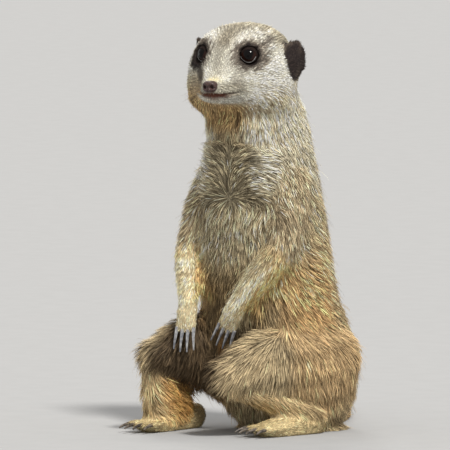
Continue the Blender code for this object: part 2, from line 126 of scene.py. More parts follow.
def bump(x, width):
    """A bell: 1 at 0, falling off by the square of x over the width."""
    return np.exp(-((x / width) ** 2))


def spot(points, centre, reach):
    """A soft spot round a centre, with its own reach along x, y and z."""
    return bump(np.linalg.norm((points - centre) / reach, axis=1), 1.0)


def to_head(points):
    """Body coordinates to head coordinates, where the face looks along -Y."""
    c, s = math.cos(HEAD_TURN), math.sin(HEAD_TURN)
    x, y, z = (points - HEAD_PIVOT).T
    return np.stack([c * x + s * y, -s * x + c * y, z], axis=1)


def head_way(vectors):
    """Directions in head coordinates, as body directions."""
    c, s = math.cos(HEAD_TURN), math.sin(HEAD_TURN)
    x, y, z = np.asarray(vectors, dtype=float).reshape(-1, 3).T
    return np.stack([c * x - s * y, s * x + c * y, z], axis=1)


def from_head(points):
    """Head coordinates to body coordinates."""
    return head_way(points) + HEAD_PIVOT


def both_sides(h):
    """Head coordinates folded onto the left side."""
    return np.stack([np.abs(h[:, 0]), h[:, 1], h[:, 2]], axis=1)


def from_eye(h):
    """Distance from the centre of the nearer eye."""
    return np.linalg.norm(both_sides(h) - EYE, axis=1)


def round_ear(h):
    """1 at and about the root of the nearer ear, 0 away from it."""
    return ramp(19.0, 13.0, np.linalg.norm((both_sides(h) - EAR) / [1.0, 1.0, 1.15], axis=1))


def ripples(points, wavelength, seed, count=9):
    """A smooth wandering field of three components, about -1 to 1: a sum of sines along random lines."""
    rng = np.random.default_rng(seed)
    total = np.zeros_like(points)
    for _ in range(count):
        waves = unit(rng.normal(size=(3, 3))) * (2 * math.pi / wavelength) * rng.uniform(0.6, 1.5)
        total += np.sin(points @ waves.T + rng.uniform(0, 2 * math.pi, 3))
    return total / math.sqrt(count)


STREAK_WAVES = 26


def streaks(points, ways, wavelength, reach, seed):
    """A fine wandering field drawn out along the coat, with a spread of 1: a sum of sines along random
    lines, added up over steps along the lie."""
    rng = np.random.default_rng(seed)
    waves = unit(rng.normal(size=(STREAK_WAVES, 3))) * (2 * math.pi / wavelength)
    waves = waves * rng.uniform(0.6, 1.5, (STREAK_WAVES, 1))
    phases = rng.uniform(0, 2 * math.pi, STREAK_WAVES)
    total = np.zeros(len(points))
    for share in np.linspace(-1.0, 1.0, 7):
        total += np.sin((points + ways * (reach * share)[:, None]) @ waves.T + phases).sum(axis=1)
    return total / np.std(total)


def to_segment(x, y, start, end):
    """Distance of points in a plane from the line between two of its points."""
    along = np.array(end) - np.array(start)
    share = np.clip(((x - start[0]) * along[0] + (y - start[1]) * along[1]) / (along @ along), 0.0, 1.0)
    return np.hypot(x - start[0] - share * along[0], y - start[1] - share * along[1])


def pull_to_plane(ways, normals):
    """What of each direction lies in the surface."""
    return unit(ways - normals * np.sum(ways * normals, axis=1, keepdims=True))


def along_limb(points, kind, name):
    """The direction of the bone under one kind of limb coat, each point's share of it, and its start."""
    joints, first = LIMBS[kind]
    start, end = (np.array(joint, dtype=float) for joint in joints[name][first : first + 2])
    bone = end - start
    share = (points - start) @ bone / (bone @ bone)
    return bone / np.linalg.norm(bone), share, start


def new_mesh(name, points, faces, sizes=None):
    """An object from points in millimetres and faces: one array of equal faces, or corners and sizes."""
    mesh = bpy.data.meshes.new(name)
    corners = np.ascontiguousarray(faces, dtype=np.int32).ravel()
    if sizes is None:
        sizes = np.full(len(faces), faces.shape[1], dtype=np.int32)
    starts = np.concatenate([[0], np.cumsum(sizes)[:-1]]).astype(np.int32)
    mesh.vertices.add(len(points))
    mesh.vertices.foreach_set("co", (np.asarray(points) * MM).astype(np.float32).ravel())
    mesh.loops.add(len(corners))
    mesh.loops.foreach_set("vertex_index", corners)
    mesh.polygons.add(len(sizes))
    mesh.polygons.foreach_set("loop_start", starts)
    mesh.update(calc_edges=True)
    mesh.shade_smooth()
    obj = bpy.data.objects.new(name, mesh)
    bpy.context.scene.collection.objects.link(obj)
    return obj


def mesh_arrays(mesh):
    """Points in millimetres and triangles of a mesh."""
    points = np.empty(len(mesh.vertices) * 3)
    mesh.vertices.foreach_get("co", points)
    mesh.calc_loop_triangles()
    triangles = np.empty(len(mesh.loop_triangles) * 3, dtype=np.int32)
    mesh.loop_triangles.foreach_get("vertices", triangles)
    return points.reshape(-1, 3) / MM, triangles.reshape(-1, 3)


def corner_normals(points, triangles):
    """The normal at each point: the mean of its triangles' normals, weighted by area."""
    a, b, c = (points[triangles[:, k]] for k in range(3))
    face = np.cross(b - a, c - a)
    total = np.zeros_like(points)
    for k in range(3):
        for axis in range(3):
            total[:, axis] += np.bincount(triangles[:, k], weights=face[:, axis], minlength=len(points))
    return unit(total)


class Net:
    """The links between neighbouring points of a mesh, for smoothing what lies on them."""

    def __init__(self, triangles, count):
        pairs = np.vstack([triangles[:, [0, 1]], triangles[:, [1, 2]], triangles[:, [2, 0]]])
        pairs = np.unique(np.sort(pairs, axis=1), axis=0)
        self.one, self.two, self.count = pairs[:, 0], pairs[:, 1], count
        links = np.bincount(self.one, minlength=count) + np.bincount(self.two, minlength=count)
        self.links = np.maximum(links, 1)

    def mean(self, column):
        """The mean of each point's neighbours."""
        total = np.bincount(self.one, weights=column[self.two], minlength=self.count)
        total += np.bincount(self.two, weights=column[self.one], minlength=self.count)
        return total / self.links

    def spread(self, values, rounds, share=0.5):
        """Move every value towards its neighbours' mean by share, rounds times."""
        values = np.array(values, dtype=float)
        flat = values.reshape(self.count, -1)
        for _ in range(rounds):
            near = np.stack([self.mean(column) for column in flat.T], axis=1)
            flat += share * (near - flat)
        return flat.reshape(values.shape)


# ---------------------------------------------------------------- the skin
# Cell of the union, how much each node is swollen for it, and how far the skin and hair stay over the floor.
VOXEL = 1.6
SWELL = 0.35
FLOOR_CLEAR = 0.2


def merged(node):
    """Points and triangles of a CAD node, with its loose corners joined."""
    points, triangles = mesh_arrays(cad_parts[node].data)
    places, index = np.unique(np.round(points, 3), axis=0, return_inverse=True)
    triangles = index.reshape(-1)[triangles]
    whole = (triangles[:, 0] != triangles[:, 1]) & (triangles[:, 1] != triangles[:, 2])
    whole &= triangles[:, 2] != triangles[:, 0]
    return places, triangles[whole]


def flesh_union():
    """One closed mesh round all nodes of flesh. Each is swollen a little, so that the clearances close."""
    points, triangles, first = [], [], 0
    for node in [*FLESH, "nose"]:
        places, faces = merged(node)
        points.append(places + corner_normals(places, faces) * SWELL)
        triangles.append(faces + first)
        first += len(places)
    rough = new_mesh("rough", np.vstack(points), np.vstack(triangles))
    step = rough.modifiers.new("union", "REMESH")
    step.mode = "VOXEL"
    step.voxel_size = VOXEL * MM
    step.adaptivity = 0.0
    seen = rough.evaluated_get(bpy.context.evaluated_depsgraph_get())
    mesh = bpy.data.meshes.new_from_object(seen)
    bpy.data.objects.remove(rough, do_unlink=True)
    return mesh


def refine(mesh, inside):
    """Halve the faces of the mesh whose corners all pass the test, and make triangles of all faces."""
    for test in inside:
        points, _ = mesh_arrays(mesh)
        chosen = test(to_head(points))
        form = bmesh.new()
        form.from_mesh(mesh)
        edges = [edge for edge in form.edges if all(chosen[vert.index] for vert in edge.verts)]
        bmesh.ops.subdivide_edges(form, edges=edges, cuts=1, use_grid_fill=True)
        form.to_mesh(mesh)
        form.free()
    form = bmesh.new()
    form.from_mesh(mesh)
    bmesh.ops.triangulate(form, faces=form.faces)
    form.to_mesh(mesh)
    form.free()
    return mesh


CHIN_LEVEL = 196.0


def on_head(h):
    """Whether each point lies on the head."""
    return (h[:, 2] > CHIN_LEVEL) & (h[:, 1] < 14.0)


def on_muzzle(h):
    """Whether each point lies on the muzzle or close round an eye."""
    return ((h[:, 2] > CHIN_LEVEL) & (h[:, 1] < -21.0)) | (from_eye(h) < 10.0)


def scattered(points, triangles, count, rng, weight=None):
    """Evenly strewn places on a surface: the triangle of each, and its shares of the triangle's corners.
    Without a count there are as many as the area times the weight."""
    a, b, c = (points[triangles[:, k]] for k in range(3))
    area = np.linalg.norm(np.cross(b - a, c - a), axis=1) / 2
    if weight is not None:
        area = area * weight[triangles].mean(axis=1)
    total = np.cumsum(area)
    if count is None:
        count = int(total[-1])
    steps = (np.arange(count) + rng.uniform(size=count)) / count * total[-1]
    chosen = np.minimum(np.searchsorted(total, steps), len(triangles) - 1)
    r, s = np.sqrt(rng.uniform(size=count)), rng.uniform(size=count)
    shares = np.stack([1 - r, r * (1 - s), r * s], axis=1)
    return chosen, shares


BLOCK = 4000


def nearest(points, samples):
    """Index of the sample nearest each point, worked out a block of points at a time."""
    found = np.empty(len(points), dtype=int)
    squares = np.sum(samples**2, axis=1)
    for start in range(0, len(points), BLOCK):
        block = points[start : start + BLOCK]
        found[start : start + BLOCK] = np.argmin(squares - 2 * block @ samples.T, axis=1)
    return found


SAMPLES_PER_KIND = 1500


def kinds_at(points):
    """Which kind of coat grows nearest each point, as a table of 0 and 1."""
    rng = np.random.default_rng(11)
    samples, owner = [], []
    for k, kind in enumerate(KINDS):
        for node in NODES[kind]:
            places, faces = merged(node)
            chosen, shares = scattered(places, faces, SAMPLES_PER_KIND, rng)
            samples.append(np.einsum("ij,ijk->ik", shares, places[faces[chosen]]))
            owner.append(np.full(SAMPLES_PER_KIND, k))
    table = np.zeros((len(points), len(KINDS)))
    table[np.arange(len(points)), np.concatenate(owner)[nearest(points, np.vstack(samples))]] = 1.0
    return table


def column(name):
    """One column of COATS, in the order of KINDS."""
    return np.array([COATS[kind][COLUMNS.index(name)] for kind in KINDS])


def share_of(table, kind):
    """How much of each point's coat is of one kind."""
    return table[:, KINDS.index(kind)]


# Height of the line between the lips at the front, and how far it rises to the corner of the mouth.
LIP_LINE = 205.6
LIP_RISE = 1.2


def mouth_height(y):
    """Height of the line between the lips: low at the front, rising to the corner of the mouth."""
    return LIP_LINE + LIP_RISE * ramp(-35.0, -24.0, y)


PAD = NOSE + [0.0, 0.2, 0.35]
PAD_HALF = (4.6, 3.9, 3.6)
# The skin is pressed flat behind the nose pad, at this place along the head.
PAD_SEAT = -39.8


def on_pad(h):
    """0 at the middle of the nose pad, seen from the front, and 1 on its outline."""
    return np.hypot(h[:, 0] / (PAD_HALF[0] + 0.1), (h[:, 2] - PAD[2]) / (PAD_HALF[2] + 0.1))


def sculpt_face(h):
    """How far each point of the skin moves out, in millimetres: lips parted by a groove that ends at the
    corner of the mouth, a groove from nose to lip, and a ridge of brow over each eye."""
    front = ramp(-26.0, -29.5, h[:, 1])
    above = h[:, 2] - mouth_height(h[:, 1])
    out = -1.1 * bump(above, 0.6) * front
    out += 0.4 * bump(above - 1.7, 1.1) * front + 0.3 * bump(above + 1.6, 1.0) * front
    out -= 2.2 * ramp(-32.0, -38.0, h[:, 1]) * ramp(0.0, -1.4, above)
    out -= 0.5 * bump(h[:, 0], 0.6) * ramp(-33.0, -36.0, h[:, 1]) * ramp(204.5, 205.5, h[:, 2])
    return out + 0.9 * spot(both_sides(h), EYE + [1.0, 0.0, 9.0], [9.0, 8.0, 3.2])


# How much thicker the ears' thin flaps are left.
EAR_FILL = 0.9
# The coat's depth on muzzle and eyelids, where the hair is shortest.
SHORT_DEPTH = 0.45


def skin_depth(h, table):
    """How far the skin lies inside the solids' surface."""
    depth = table @ column("depth")
    face = share_of(table, "head")
    short = np.maximum(ramp(-14.0, -26.0, h[:, 1]), ramp(13.0, 8.0, from_eye(h))) * face
    depth = depth * (1 - short) + SHORT_DEPTH * short
    cheek = ramp(216.0, 204.0, h[:, 2]) * ramp(-16.0, -4.0, h[:, 1]) * face
    depth += 1.2 * cheek
    depth -= 0.4 * round_ear(h) * face
    return depth - EAR_FILL * share_of(table, "ear")


# How often the union is smoothed, each time by the first share inwards and by the second outwards again.
UNION_ROUNDS = 6
UNION_SHARES = (0.6, -0.62)
# How often the fold under the cheeks, the back, the borders of the kinds of coat and its depth are smoothed.
FOLD_ROUNDS = 90
BACK_ROUNDS = 16
KIND_ROUNDS = 14
DEPTH_ROUNDS = 6


def fill_fold(points, triangles, net):
    """Ease the fold between cheek and neck: there the skin moves out to where it would be if smoothed."""
    h = to_head(points)
    place = ramp(186.0, 194.0, h[:, 2]) * ramp(211.0, 204.0, h[:, 2]) * ramp(-27.0, -20.0, h[:, 1])
    normals = corner_normals(points, triangles)
    out = np.sum((net.spread(points, FOLD_ROUNDS) - points) * normals, axis=1)
    return points + normals * (np.maximum(out, 0.0) * place)[:, None]


def ease_back(points, net):
    """Smooth the back and haunches, and leave the front, the neck and the floor's flats as they are."""
    y, z = points[:, 1], points[:, 2]
    behind = ramp(-22.0, -8.0, y) * ramp(10.0, 20.0, z) * ramp(190.0, 170.0, z)
    return points + (net.spread(points, BACK_ROUNDS) - points) * behind[:, None]


def make_skin():
    """The skin's points, triangles, normals, kinds and links. It is the union of the flesh, smoothed, moved
    inwards along its normals by the coat's depth, and then given its lips and brows."""
    mesh = refine(flesh_union(), (on_head, on_muzzle))
    points, triangles = mesh_arrays(mesh)
    bpy.data.meshes.remove(mesh)
    net = Net(triangles, len(points))
    for share in UNION_SHARES * UNION_ROUNDS:
        points = net.spread(points, 1, share)
    points = ease_back(fill_fold(points, triangles, net), net)
    table = net.spread(kinds_at(points), KIND_ROUNDS)
    depth = net.spread(skin_depth(to_head(points), table) + SWELL, DEPTH_ROUNDS)
    floor = ramp(3.0, 0.5, points[:, 2])
    depth = depth * (1 - floor) + FLOOR_CLEAR * floor
    points = points - corner_normals(points, triangles) * depth[:, None]
    points = net.spread(points, 1, 0.5)
    face = ramp(0.4, 0.8, share_of(table, "head"))
    out = sculpt_face(to_head(points)) * face
    h = to_head(points + corner_normals(points, triangles) * out[:, None])
    h[:, 1] = np.where(on_pad(h) < 1.15, np.maximum(h[:, 1], PAD_SEAT), h[:, 1])
    points = from_head(h)
    return points, triangles, corner_normals(points, triangles), table, net


# ---------------------------------------------------------------- markings
INK = {
    "dark_patch": srgb(36, 28, 26),
    "patch_rim": srgb(84, 72, 64),
    "crown": srgb(172, 163, 142),
    "forehead": srgb(150, 143, 126),
    "brow": srgb(224, 220, 207),
    "cheek": srgb(234, 231, 216),
    "muzzle": srgb(141, 136, 121),
    "bridge": srgb(134, 126, 112),
    "nose_top": srgb(232, 214, 160),
    "lip": srgb(90, 50, 36),
    "chin": srgb(196, 193, 182),
    "throat": srgb(180, 150, 106),
    "cream": srgb(236, 222, 190),
    "nape": srgb(180, 169, 143),
    "body": srgb(180, 163, 130),
    "back": srgb(164, 145, 112),
    "bars": srgb(100, 84, 66),
    "breast": srgb(151, 140, 115),
    "belly": srgb(124, 106, 78),
    "flank": srgb(206, 168, 118),
    "arm": srgb(192, 174, 142),
    "forearm": srgb(247, 229, 188),
    "yellow": srgb(248, 203, 132),
    "thigh": srgb(184, 166, 132),
    # Painted shade: dark brown laid inside the thighs, beside the throat, in the hollow by the right
    # shoulder and under the right forearm.
    "painted_shade": srgb(72, 56, 40),
    "shin": srgb(209, 184, 141),
    "orange": srgb(218, 167, 98),
    "foot": srgb(216, 196, 150),
    "tail": srgb(172, 146, 106),
    "tail_tip": srgb(54, 42, 36),
    "ear": srgb(48, 40, 38),
    "mantle": srgb(210, 201, 176),
    "underbreast": srgb(182, 168, 138),
    "groin": srgb(134, 100, 62),
    "ear_rim": srgb(128, 114, 98),
    "grizzle": srgb(150, 136, 109),
    # Painted shade: tan for the animal's lower right cheek.
    "painted_cheek_shade": srgb(164, 146, 114),
    # Painted shadow under the front of the lower lip.
    "painted_lip_shadow": srgb(104, 62, 38),
}


def paint(base, *layers):
    """Lay inks over base colours one after the other. Each layer is an ink's name and a mask of 0 to 1."""
    for name, mask in layers:
        base = base + (INK[name] - base) * np.clip(mask, 0, 1)[:, None]
    return base


def plain(name, count):
    """One ink all over."""
    return np.tile(INK[name], (count, 1))


# From an eye towards the ear of its side, along the face.
TOWARDS_EAR = np.array([0.9, 0.42, 0.0])


def in_eye_plane(h):
    """Places round the nearer eye, seen from its front: towards the ear, and up."""
    q = both_sides(h) - EYE
    return q @ TOWARDS_EAR, q[:, 2]


def in_ear(h):
    """0 at the middle of the ear, seen from its side, and 1 on its outline."""
    return np.hypot((h[:, 1] - EAR[1] + 1.0) / EAR_HALF[0], (h[:, 2] - EAR[2]) / EAR_HALF[1])


def eye_patch(h):
    """Masks of the dark patch round each eye: its core, and its ragged rim with the point that runs up and
    back. On the animal's right the core is painted larger and lower, with a dark tear beside the nose, as
    painted shade of that side."""
    a, b = in_eye_plane(h)
    # right: 1 on the animal's right; there the patch core is painted larger and lower, with a dark tear, as
    # painted shade.
    right = ramp(2.0, -2.0, h[:, 0])
    low = b + 1.6 * right
    near = np.hypot(a / (6.6 + 1.5 * right), np.where(low > 0, low / 7.4, low / 6.7) / (1 + 0.12 * right))
    wide = np.hypot(a / 11.6, np.where(b > 0, b / 9.0, b / 9.8))
    ragged = 0.14 * np.sin(ripples(h, 3.4, 41)[:, 0] * 2.0)
    spike = to_segment(a, b, (6.0, 4.5), (11.5, 9.5)) / 2.8
    tear = to_segment(a, b, (-3.0, -5.0), (-7.5, -13.0)) / 3.6
    shaded_tear = ramp(1.25, 0.3, tear + ragged) * right
    on_face = ramp(-2.0, -8.0, h[:, 1])
    core = np.maximum(ramp(1.2, 0.8, near + ragged * 0.6), 0.8 * shaded_tear) * on_face
    inner = to_segment(a, b, (-7.0, 3.0), (-9.5, -5.0)) / 3.4
    near_rim = np.maximum(ramp(1.2, 0.76, wide + ragged), 0.7 * bump(inner + ragged, 1.0))
    rim = np.maximum.reduce([near_rim, 0.9 * bump(spike, 1.0), 0.5 * ramp(1.5, 0.7, tear)])
    return core, rim * on_face


def head_colours(h):
    """Colours of the head: grizzled brow and crown, pale cheeks and brows, dark eye patches, tan throat;
    painted shade makes the animal's right lower cheek tan, and a painted shadow lies under the front of the
    lower lip.
    """
    x, y, z = both_sides(h).T
    a, b = in_eye_plane(h)
    above = h[:, 2] - mouth_height(h[:, 1])
    core, rim = eye_patch(h)
    throat = ramp(203.0, 197.0, z) * ramp(-33.0, -27.0, y) * ramp(26.0, 6.0, h[:, 0]) * ramp(8.0, 0.0, y)
    # far: the animal's lower right cheek, where tan is painted as shade of that side.
    far = ramp(-6.0, -12.0, h[:, 0]) * ramp(-36.0, -29.0, y) * ramp(12.0, 2.0, y)
    lip = ramp(-3.0, -1.2, above) * ramp(0.7, 0.1, above) * ramp(-31.0, -35.0, y)
    lip = np.maximum(lip, bump(above, 0.8) * ramp(-26.0, -34.0, y))
    return paint(
        plain("cheek", len(h)),
        ("forehead", ramp(228.0, 236.0, z)),
        ("crown", ramp(236.0, 244.0, z) * ramp(-14.0, 2.0, y)),
        ("brow", bump(np.hypot(a - 1.0, b) - 11.5, 3.2) * ramp(1.0, 6.0, b)),
        ("bridge", bump(x, 6.5) * ramp(-12.0, -20.0, y) * ramp(212.0, 217.0, z) * 0.55),
        ("muzzle", ramp(-22.0, -28.0, y) * ramp(216.0, 210.0, z) * 0.8),
        ("cream", ramp(-2.0, 8.0, y) * ramp(222.0, 214.0, z)),
        ("cream", ramp(-25.0, -12.0, y) * ramp(214.0, 203.0, z)),
        ("nape", ramp(10.0, 20.0, y) * ramp(214.0, 222.0, z)),
        ("throat", throat),
        # Painted shade: the lower right cheek is tinted tan, and the throat's tan is carried up it.
        ("painted_cheek_shade", far * ramp(222.0, 213.0, z) * 0.75),
        ("throat", far * ramp(213.0, 202.0, z) * 0.8),
        ("chin", ramp(-1.2, -2.0, above) * ramp(-22.0, -27.0, y) * ramp(198.5, 200.5, z)),
        ("ear", ramp(1.06, 0.92, in_ear(h)) * ramp(24.0, 27.5, x)),
        ("patch_rim", rim * 0.9),
        ("dark_patch", core),
        ("nose_top", spot(h, NOSE + [0, 1.8, 4.9], [4.6, 3.0, 1.7])),
        # Painted shadow under the front of the lower lip.
        ("painted_lip_shadow", spot(h, [-1.5, -36.5, 202.6], [4.6, 5.0, 2.6]) * 0.9),
        ("bridge", bump(above - 4.5, 2.0) * bump(y + 29.0, 5.0) * 0.35),
        ("lip", lip),
    )


def trunk_colours(points):
    """Colours of neck, chest and rump: grizzled, greyer on the breast, golden on the flanks, dark on the
    belly, with faint dark bars across the back, and painted shade in a crease beside the throat and in the
    hollow between neck and right shoulder."""
    x, y, z = points.T
    wide = np.abs(x)
    front = ramp(-30.0, -52.0, y)
    neck = ramp(172.0, 184.0, z)
    back = ramp(-14.0, 4.0, y) * ramp(200.0, 188.0, z)
    wave = np.sin(z / 9.5 * 2 * math.pi + 0.7 * np.sin(x / 9.0))
    bars = ramp(0.2, 0.9, wave) * back * ramp(30.0, 44.0, z) * ramp(160.0, 130.0, z) * ramp(38.0, 22.0, wide)
    # slit and hollow: painted shade in a crease beside the throat and in the hollow between neck and right
    # shoulder.
    slit = bump(x - 9.5, 1.6) * ramp(-48.0, -54.0, y) * ramp(183.0, 188.0, z) * ramp(201.0, 196.0, z)
    hollow = bump(np.hypot(x + 4.0, (z - 180.0) / 1.6), 4.5) * ramp(-46.0, -54.0, y)
    return paint(
        plain("body", len(points)),
        ("breast", front * ramp(134.0, 140.0, z) * ramp(185.0, 165.0, z)),
        ("underbreast", front * ramp(100.0, 118.0, z) * ramp(140.0, 134.0, z)),
        ("belly", front * ramp(112.0, 92.0, z) * ramp(32.0, 20.0, wide)),
        ("flank", ramp(20.0, 32.0, wide) * ramp(128.0, 88.0, z) * ramp(6.0, -14.0, y) * 0.9),
        ("back", back),
        ("bars", bars * 0.6),
        ("mantle", ramp(140.0, 158.0, z) * ramp(9.0, 20.0, wide) * ramp(-4.0, -20.0, y) * 0.85),
        ("cream", neck * ramp(-4.0, -22.0, y) * ramp(6.0, 14.0, wide)),
        ("throat", ramp(182.0, 190.0, z) * ramp(-48.0, -56.0, y) * ramp(20.0, 9.0, x)),
        ("nape", neck * ramp(-22.0, -8.0, y)),
        ("painted_shade", np.maximum(slit, 0.55 * hollow)),
    )


def leg_colours(points, kind):
    """Colours of thigh, shin and foot: pale outside, with painted shade on the inner front of the thigh, and
    orange locks down to the heel.
    """
    x, y, z = points.T
    ink = plain(kind, len(points))
    for name, side in SIDES.items():
        knee, ankle = np.array(LEGS[name][1:3], dtype=float)
        on_side = ramp(-2.0, 2.0, x * side)
        inner = ramp(2.0, 9.0, ((knee[0] + ankle[0]) / 2 - x) * side) * on_side
        if kind == "thigh":
            behind = ramp(-46.0, -34.0, y) * on_side * 0.45
            # Painted shade on the inner front of each thigh.
            ink = paint(ink, ("flank", behind), ("painted_shade", inner * ramp(-30.0, -44.0, y) * 0.9))
        if kind == "shin" and name == "right":
            behind = ramp(-66.0, -54.0, y) * on_side
            ink = paint(ink, ("orange", np.maximum(behind, inner) * ramp(42.0, 32.0, z)))
    return ink


def forearm_colours(points):
    """Pale, with yellow hair along the lower edge and about the elbow, and grizzled above on the left."""
    ink = plain("forearm", len(points))
    for name, side in SIDES.items():
        bone, share, start = along_limb(points, "forearm", name)
        below = (points - start) @ unit(np.cross([0.67, -0.74, 0.0], bone))
        on_side = ramp(-2.0, 2.0, points[:, 0] * side)
        yellow = np.maximum(ramp(0.0, 5.0, below), ramp(0.35, 0.0, share) * 0.7)
        ink = paint(ink, ("yellow", yellow * on_side * 0.85))
        if name == "left":
            ink = paint(ink, ("grizzle", ramp(1.5, -3.5, below) * ramp(0.7, 0.3, share) * on_side * 0.5))
    return ink


def ear_colours(points, h):
    """Black-brown, with grey hair here and there and along the rim."""
    grey = 0.5 * ramp(-0.2, 1.0, ripples(points, 7.0, 43)[:, 0]) * ramp(0.3, 0.8, in_ear(h))
    rim = ramp(0.82, 1.06, in_ear(h)) * 0.75
    return paint(plain("ear", len(h)), ("ear_rim", np.maximum(grey, rim)))


# Kinds of coat with one ink all over.
PLAIN_COATS = {"upper_arm": "arm", "hand": "forearm", "tail": "tail", "tail_tip": "tail_tip"}


def markings(points, table):
    """The colour of skin and coat at each point: each kind's own colours, mixed by the kinds' shares."""
    h = to_head(points)
    ink = np.zeros((len(points), 3))
    trunk = trunk_colours(points)
    for kind in KINDS:
        if kind in PLAIN_COATS:
            own = plain(PLAIN_COATS[kind], len(points))
        elif kind == "head":
            own = head_colours(h)
        elif kind == "ear":
            own = ear_colours(points, h)
        elif kind in ("thigh", "shin", "foot"):
            own = leg_colours(points, kind)
        elif kind == "forearm":
            own = forearm_colours(points)
        else:
            own = trunk
        ink += own * share_of(table, kind)[:, None]
    ink = paint(
        ink,
        # Painted shade on the right thigh, under the forearm.
        ("painted_shade", spot(points, [-8.0, -60.0, 50.0], [13.0, 20.0, 20.0]) * 0.85),
        ("groin", spot(points, [-13.0, -50.0, 55.0], [6.0, 8.0, 12.0])),
    )
    blotch = 1 + 0.10 * ripples(points, 16.0, 5)[:, :1]
    return np.clip(ink * blotch, 0.004, 1.0)


# ---------------------------------------------------------------- the lie of the coat


def from_whorl(points, centre, reach):
    """Directions that lead away from a whorl, with a strength that dies away from it."""
    offset = points - centre
    far = np.linalg.norm(offset, axis=1)
    return unit(offset) * (bump(far, reach) * ramp(0.0, 2.5, far))[:, None]


def trunk_lie(points):
    """Down the trunk and a little back; above the breast's whorl it parts to both sides."""
    x, y, z = points.T
    ways = np.zeros_like(points)
    ways[:, 2] = -1.0
    ways[:, 1] = 0.25 * ramp(-60.0, -30.0, y)
    parted = ramp(138.0, 143.0, z) * ramp(182.0, 170.0, z) * ramp(-36.0, -48.0, y)
    aside = x - BREAST_WHORL[0]
    ways[:, 2] += parted * (0.85 + 0.55 * bump(aside, 14.0) + 0.35 * ramp(2.0, -2.0, aside))
    ways[:, 0] += parted * np.tanh(aside / 1.5)
    flank = ramp(12.0, 24.0, np.abs(x)) * ramp(54.0, 66.0, z) * ramp(128.0, 112.0, z)
    ways[:, 1] += 0.65 * flank
    haunch = ramp(40.0, 10.0, z) * ramp(-10.0, 14.0, y)
    ways[:, 1] += 0.8 * haunch
    return ways


def limb_lie(points, kind):
    """Along the bone of the nearer side's limb; arm hair also leads outwards, thigh hair fans out from the
    fold before the haunch, and shin hair runs to the heel."""
    ways = np.zeros_like(points)
    for name, side in SIDES.items():
        bone, share, _ = along_limb(points, kind, name)
        own = np.tile(bone, (len(points), 1))
        if kind == "forearm":
            own = own + np.array([0.35 * side, 0.15, 0.0])
        if kind == "upper_arm":
            own = own + np.array([0.1 * side, 0.25, 0.0])
        if kind == "thigh":
            fan = unit(points - THIGH_FAN[name])
            fan[:, 1] *= np.where(fan[:, 1] > 0, 0.35, 1.0)
            own = 0.25 * own * ramp(0.3, 0.6, share)[:, None] + fan
            own[:, 2] -= 0.5
        if kind == "shin":
            heel = np.array(LEGS[name][2]) + [0.0, 8.0, -12.0]
            own = 0.5 * own + 0.8 * unit(heel - points)
        ways = np.where((points[:, 0] * side > 0)[:, None], own, ways)
    return ways


def head_lie(h):
    """Away from the nose, over brow and cheek, and down behind the cheeks."""
    ways = unit(h - [0.0, -40.0, 213.0])
    ways[:, 2] -= 0.7 * ramp(-16.0, 6.0, h[:, 1]) * ramp(226.0, 210.0, h[:, 2])
    ways[:, 2] -= 1.1 * ramp(-26.0, -12.0, h[:, 1]) * ramp(210.0, 199.0, h[:, 2])
    return head_way(ways)


def tail_lie(points):
    """Along the nearest stretch of the tail."""
    line = np.array(TAIL, dtype=float)
    middles = (line[1:] + line[:-1]) / 2
    gaps = np.linalg.norm(points[:, None] - middles[None], axis=2)
    weight = 1 / (gaps**4 + 1.0)
    return unit(weight @ unit(line[1:] - line[:-1]))


def ear_lie(points):
    """Away from the front of the root of the nearer ear."""
    centre = from_head((EAR + [0.0, -7.0, -4.0])[None])[0]
    return points - np.where(points[:, :1] > 0, centre, centre * [-1, 1, 1])


def coat_lie(points, table, net, normals):
    """The direction of the hair at each point of the skin."""
    ways = np.zeros_like(points)
    for kind in KINDS:
        if kind == "head":
            own = head_lie(to_head(points))
        elif kind == "ear":
            own = ear_lie(points)
        elif kind in LIMBS:
            own = limb_lie(points, kind)
        elif kind in ("tail", "tail_tip"):
            own = tail_lie(points)
        else:
            own = trunk_lie(points)
        ways += unit(own) * share_of(table, kind)[:, None]
    ways += 1.8 * from_whorl(points, BREAST_WHORL, 11.0)
    for side in SIDES.values():
        ways += 2.4 * from_whorl(points, SHOULDER_WHORL * [side, 1, 1], 8.0)
    return pull_to_plane(net.spread(ways, 3), normals)


# ---------------------------------------------------------------- locks of hair
# Weights that turn a cell's place in the lattice into a phase with no pattern to it.
CELL_WEIGHTS = np.array([[12.99, 78.23, 37.72], [39.35, 11.14, 83.16], [73.16, 52.24, 9.15]])


def clump_centres(points, size, seed):
    """The nearest of a jittered lattice of centres, one for each cell of that size."""
    cell = np.floor(points / size)
    best = np.full(len(points), 1e9)
    found = np.zeros_like(points)
    for shift in np.ndindex(3, 3, 3):
        around = cell + np.array(shift) - 1
        jitter = np.sin(around @ CELL_WEIGHTS + seed)
        centre = (around + 0.5 + 0.45 * np.sin(jitter * 437.58)) * size
        gap = np.sum((points - centre) ** 2, axis=1)
        closer = gap < best
        best = np.where(closer, gap, best)
        found[closer] = centre[closer]
    return found


def unwrap_limb(points, kind):
    """Turn round the bone and share of it, with the left limb on one half of the turn and the right on the
    other."""
    left = points[:, 0] > 0
    angle, rise = np.zeros(len(points)), np.zeros(len(points))
    for name in SIDES:
        bone, share, start = along_limb(points, kind, name)
        across = unit(np.cross(bone, [0.3, 0.2, 1.0]))
        turn = np.arctan2((points - start) @ np.cross(bone, across), (points - start) @ across)
        here = left if name == "left" else ~left
        angle = np.where(here, turn, angle)
        rise = np.where(here, share, rise)
    return (angle / math.pi + np.where(left, 1.0, -1.0)) / 2 * math.pi, rise


def unwrap_tail(points):
    """Turn round the tail's own line, and how far along it from root to tip."""
    aside = np.cross([0, 0, 1.0], tail_lie(points))
    angle = np.arctan2(points[:, 2] - 6.0, np.sum(aside * (points - [-50, 95, 0]), axis=1))
    return angle, points @ unit(np.array([-128.0, 128.0, 0.0]))


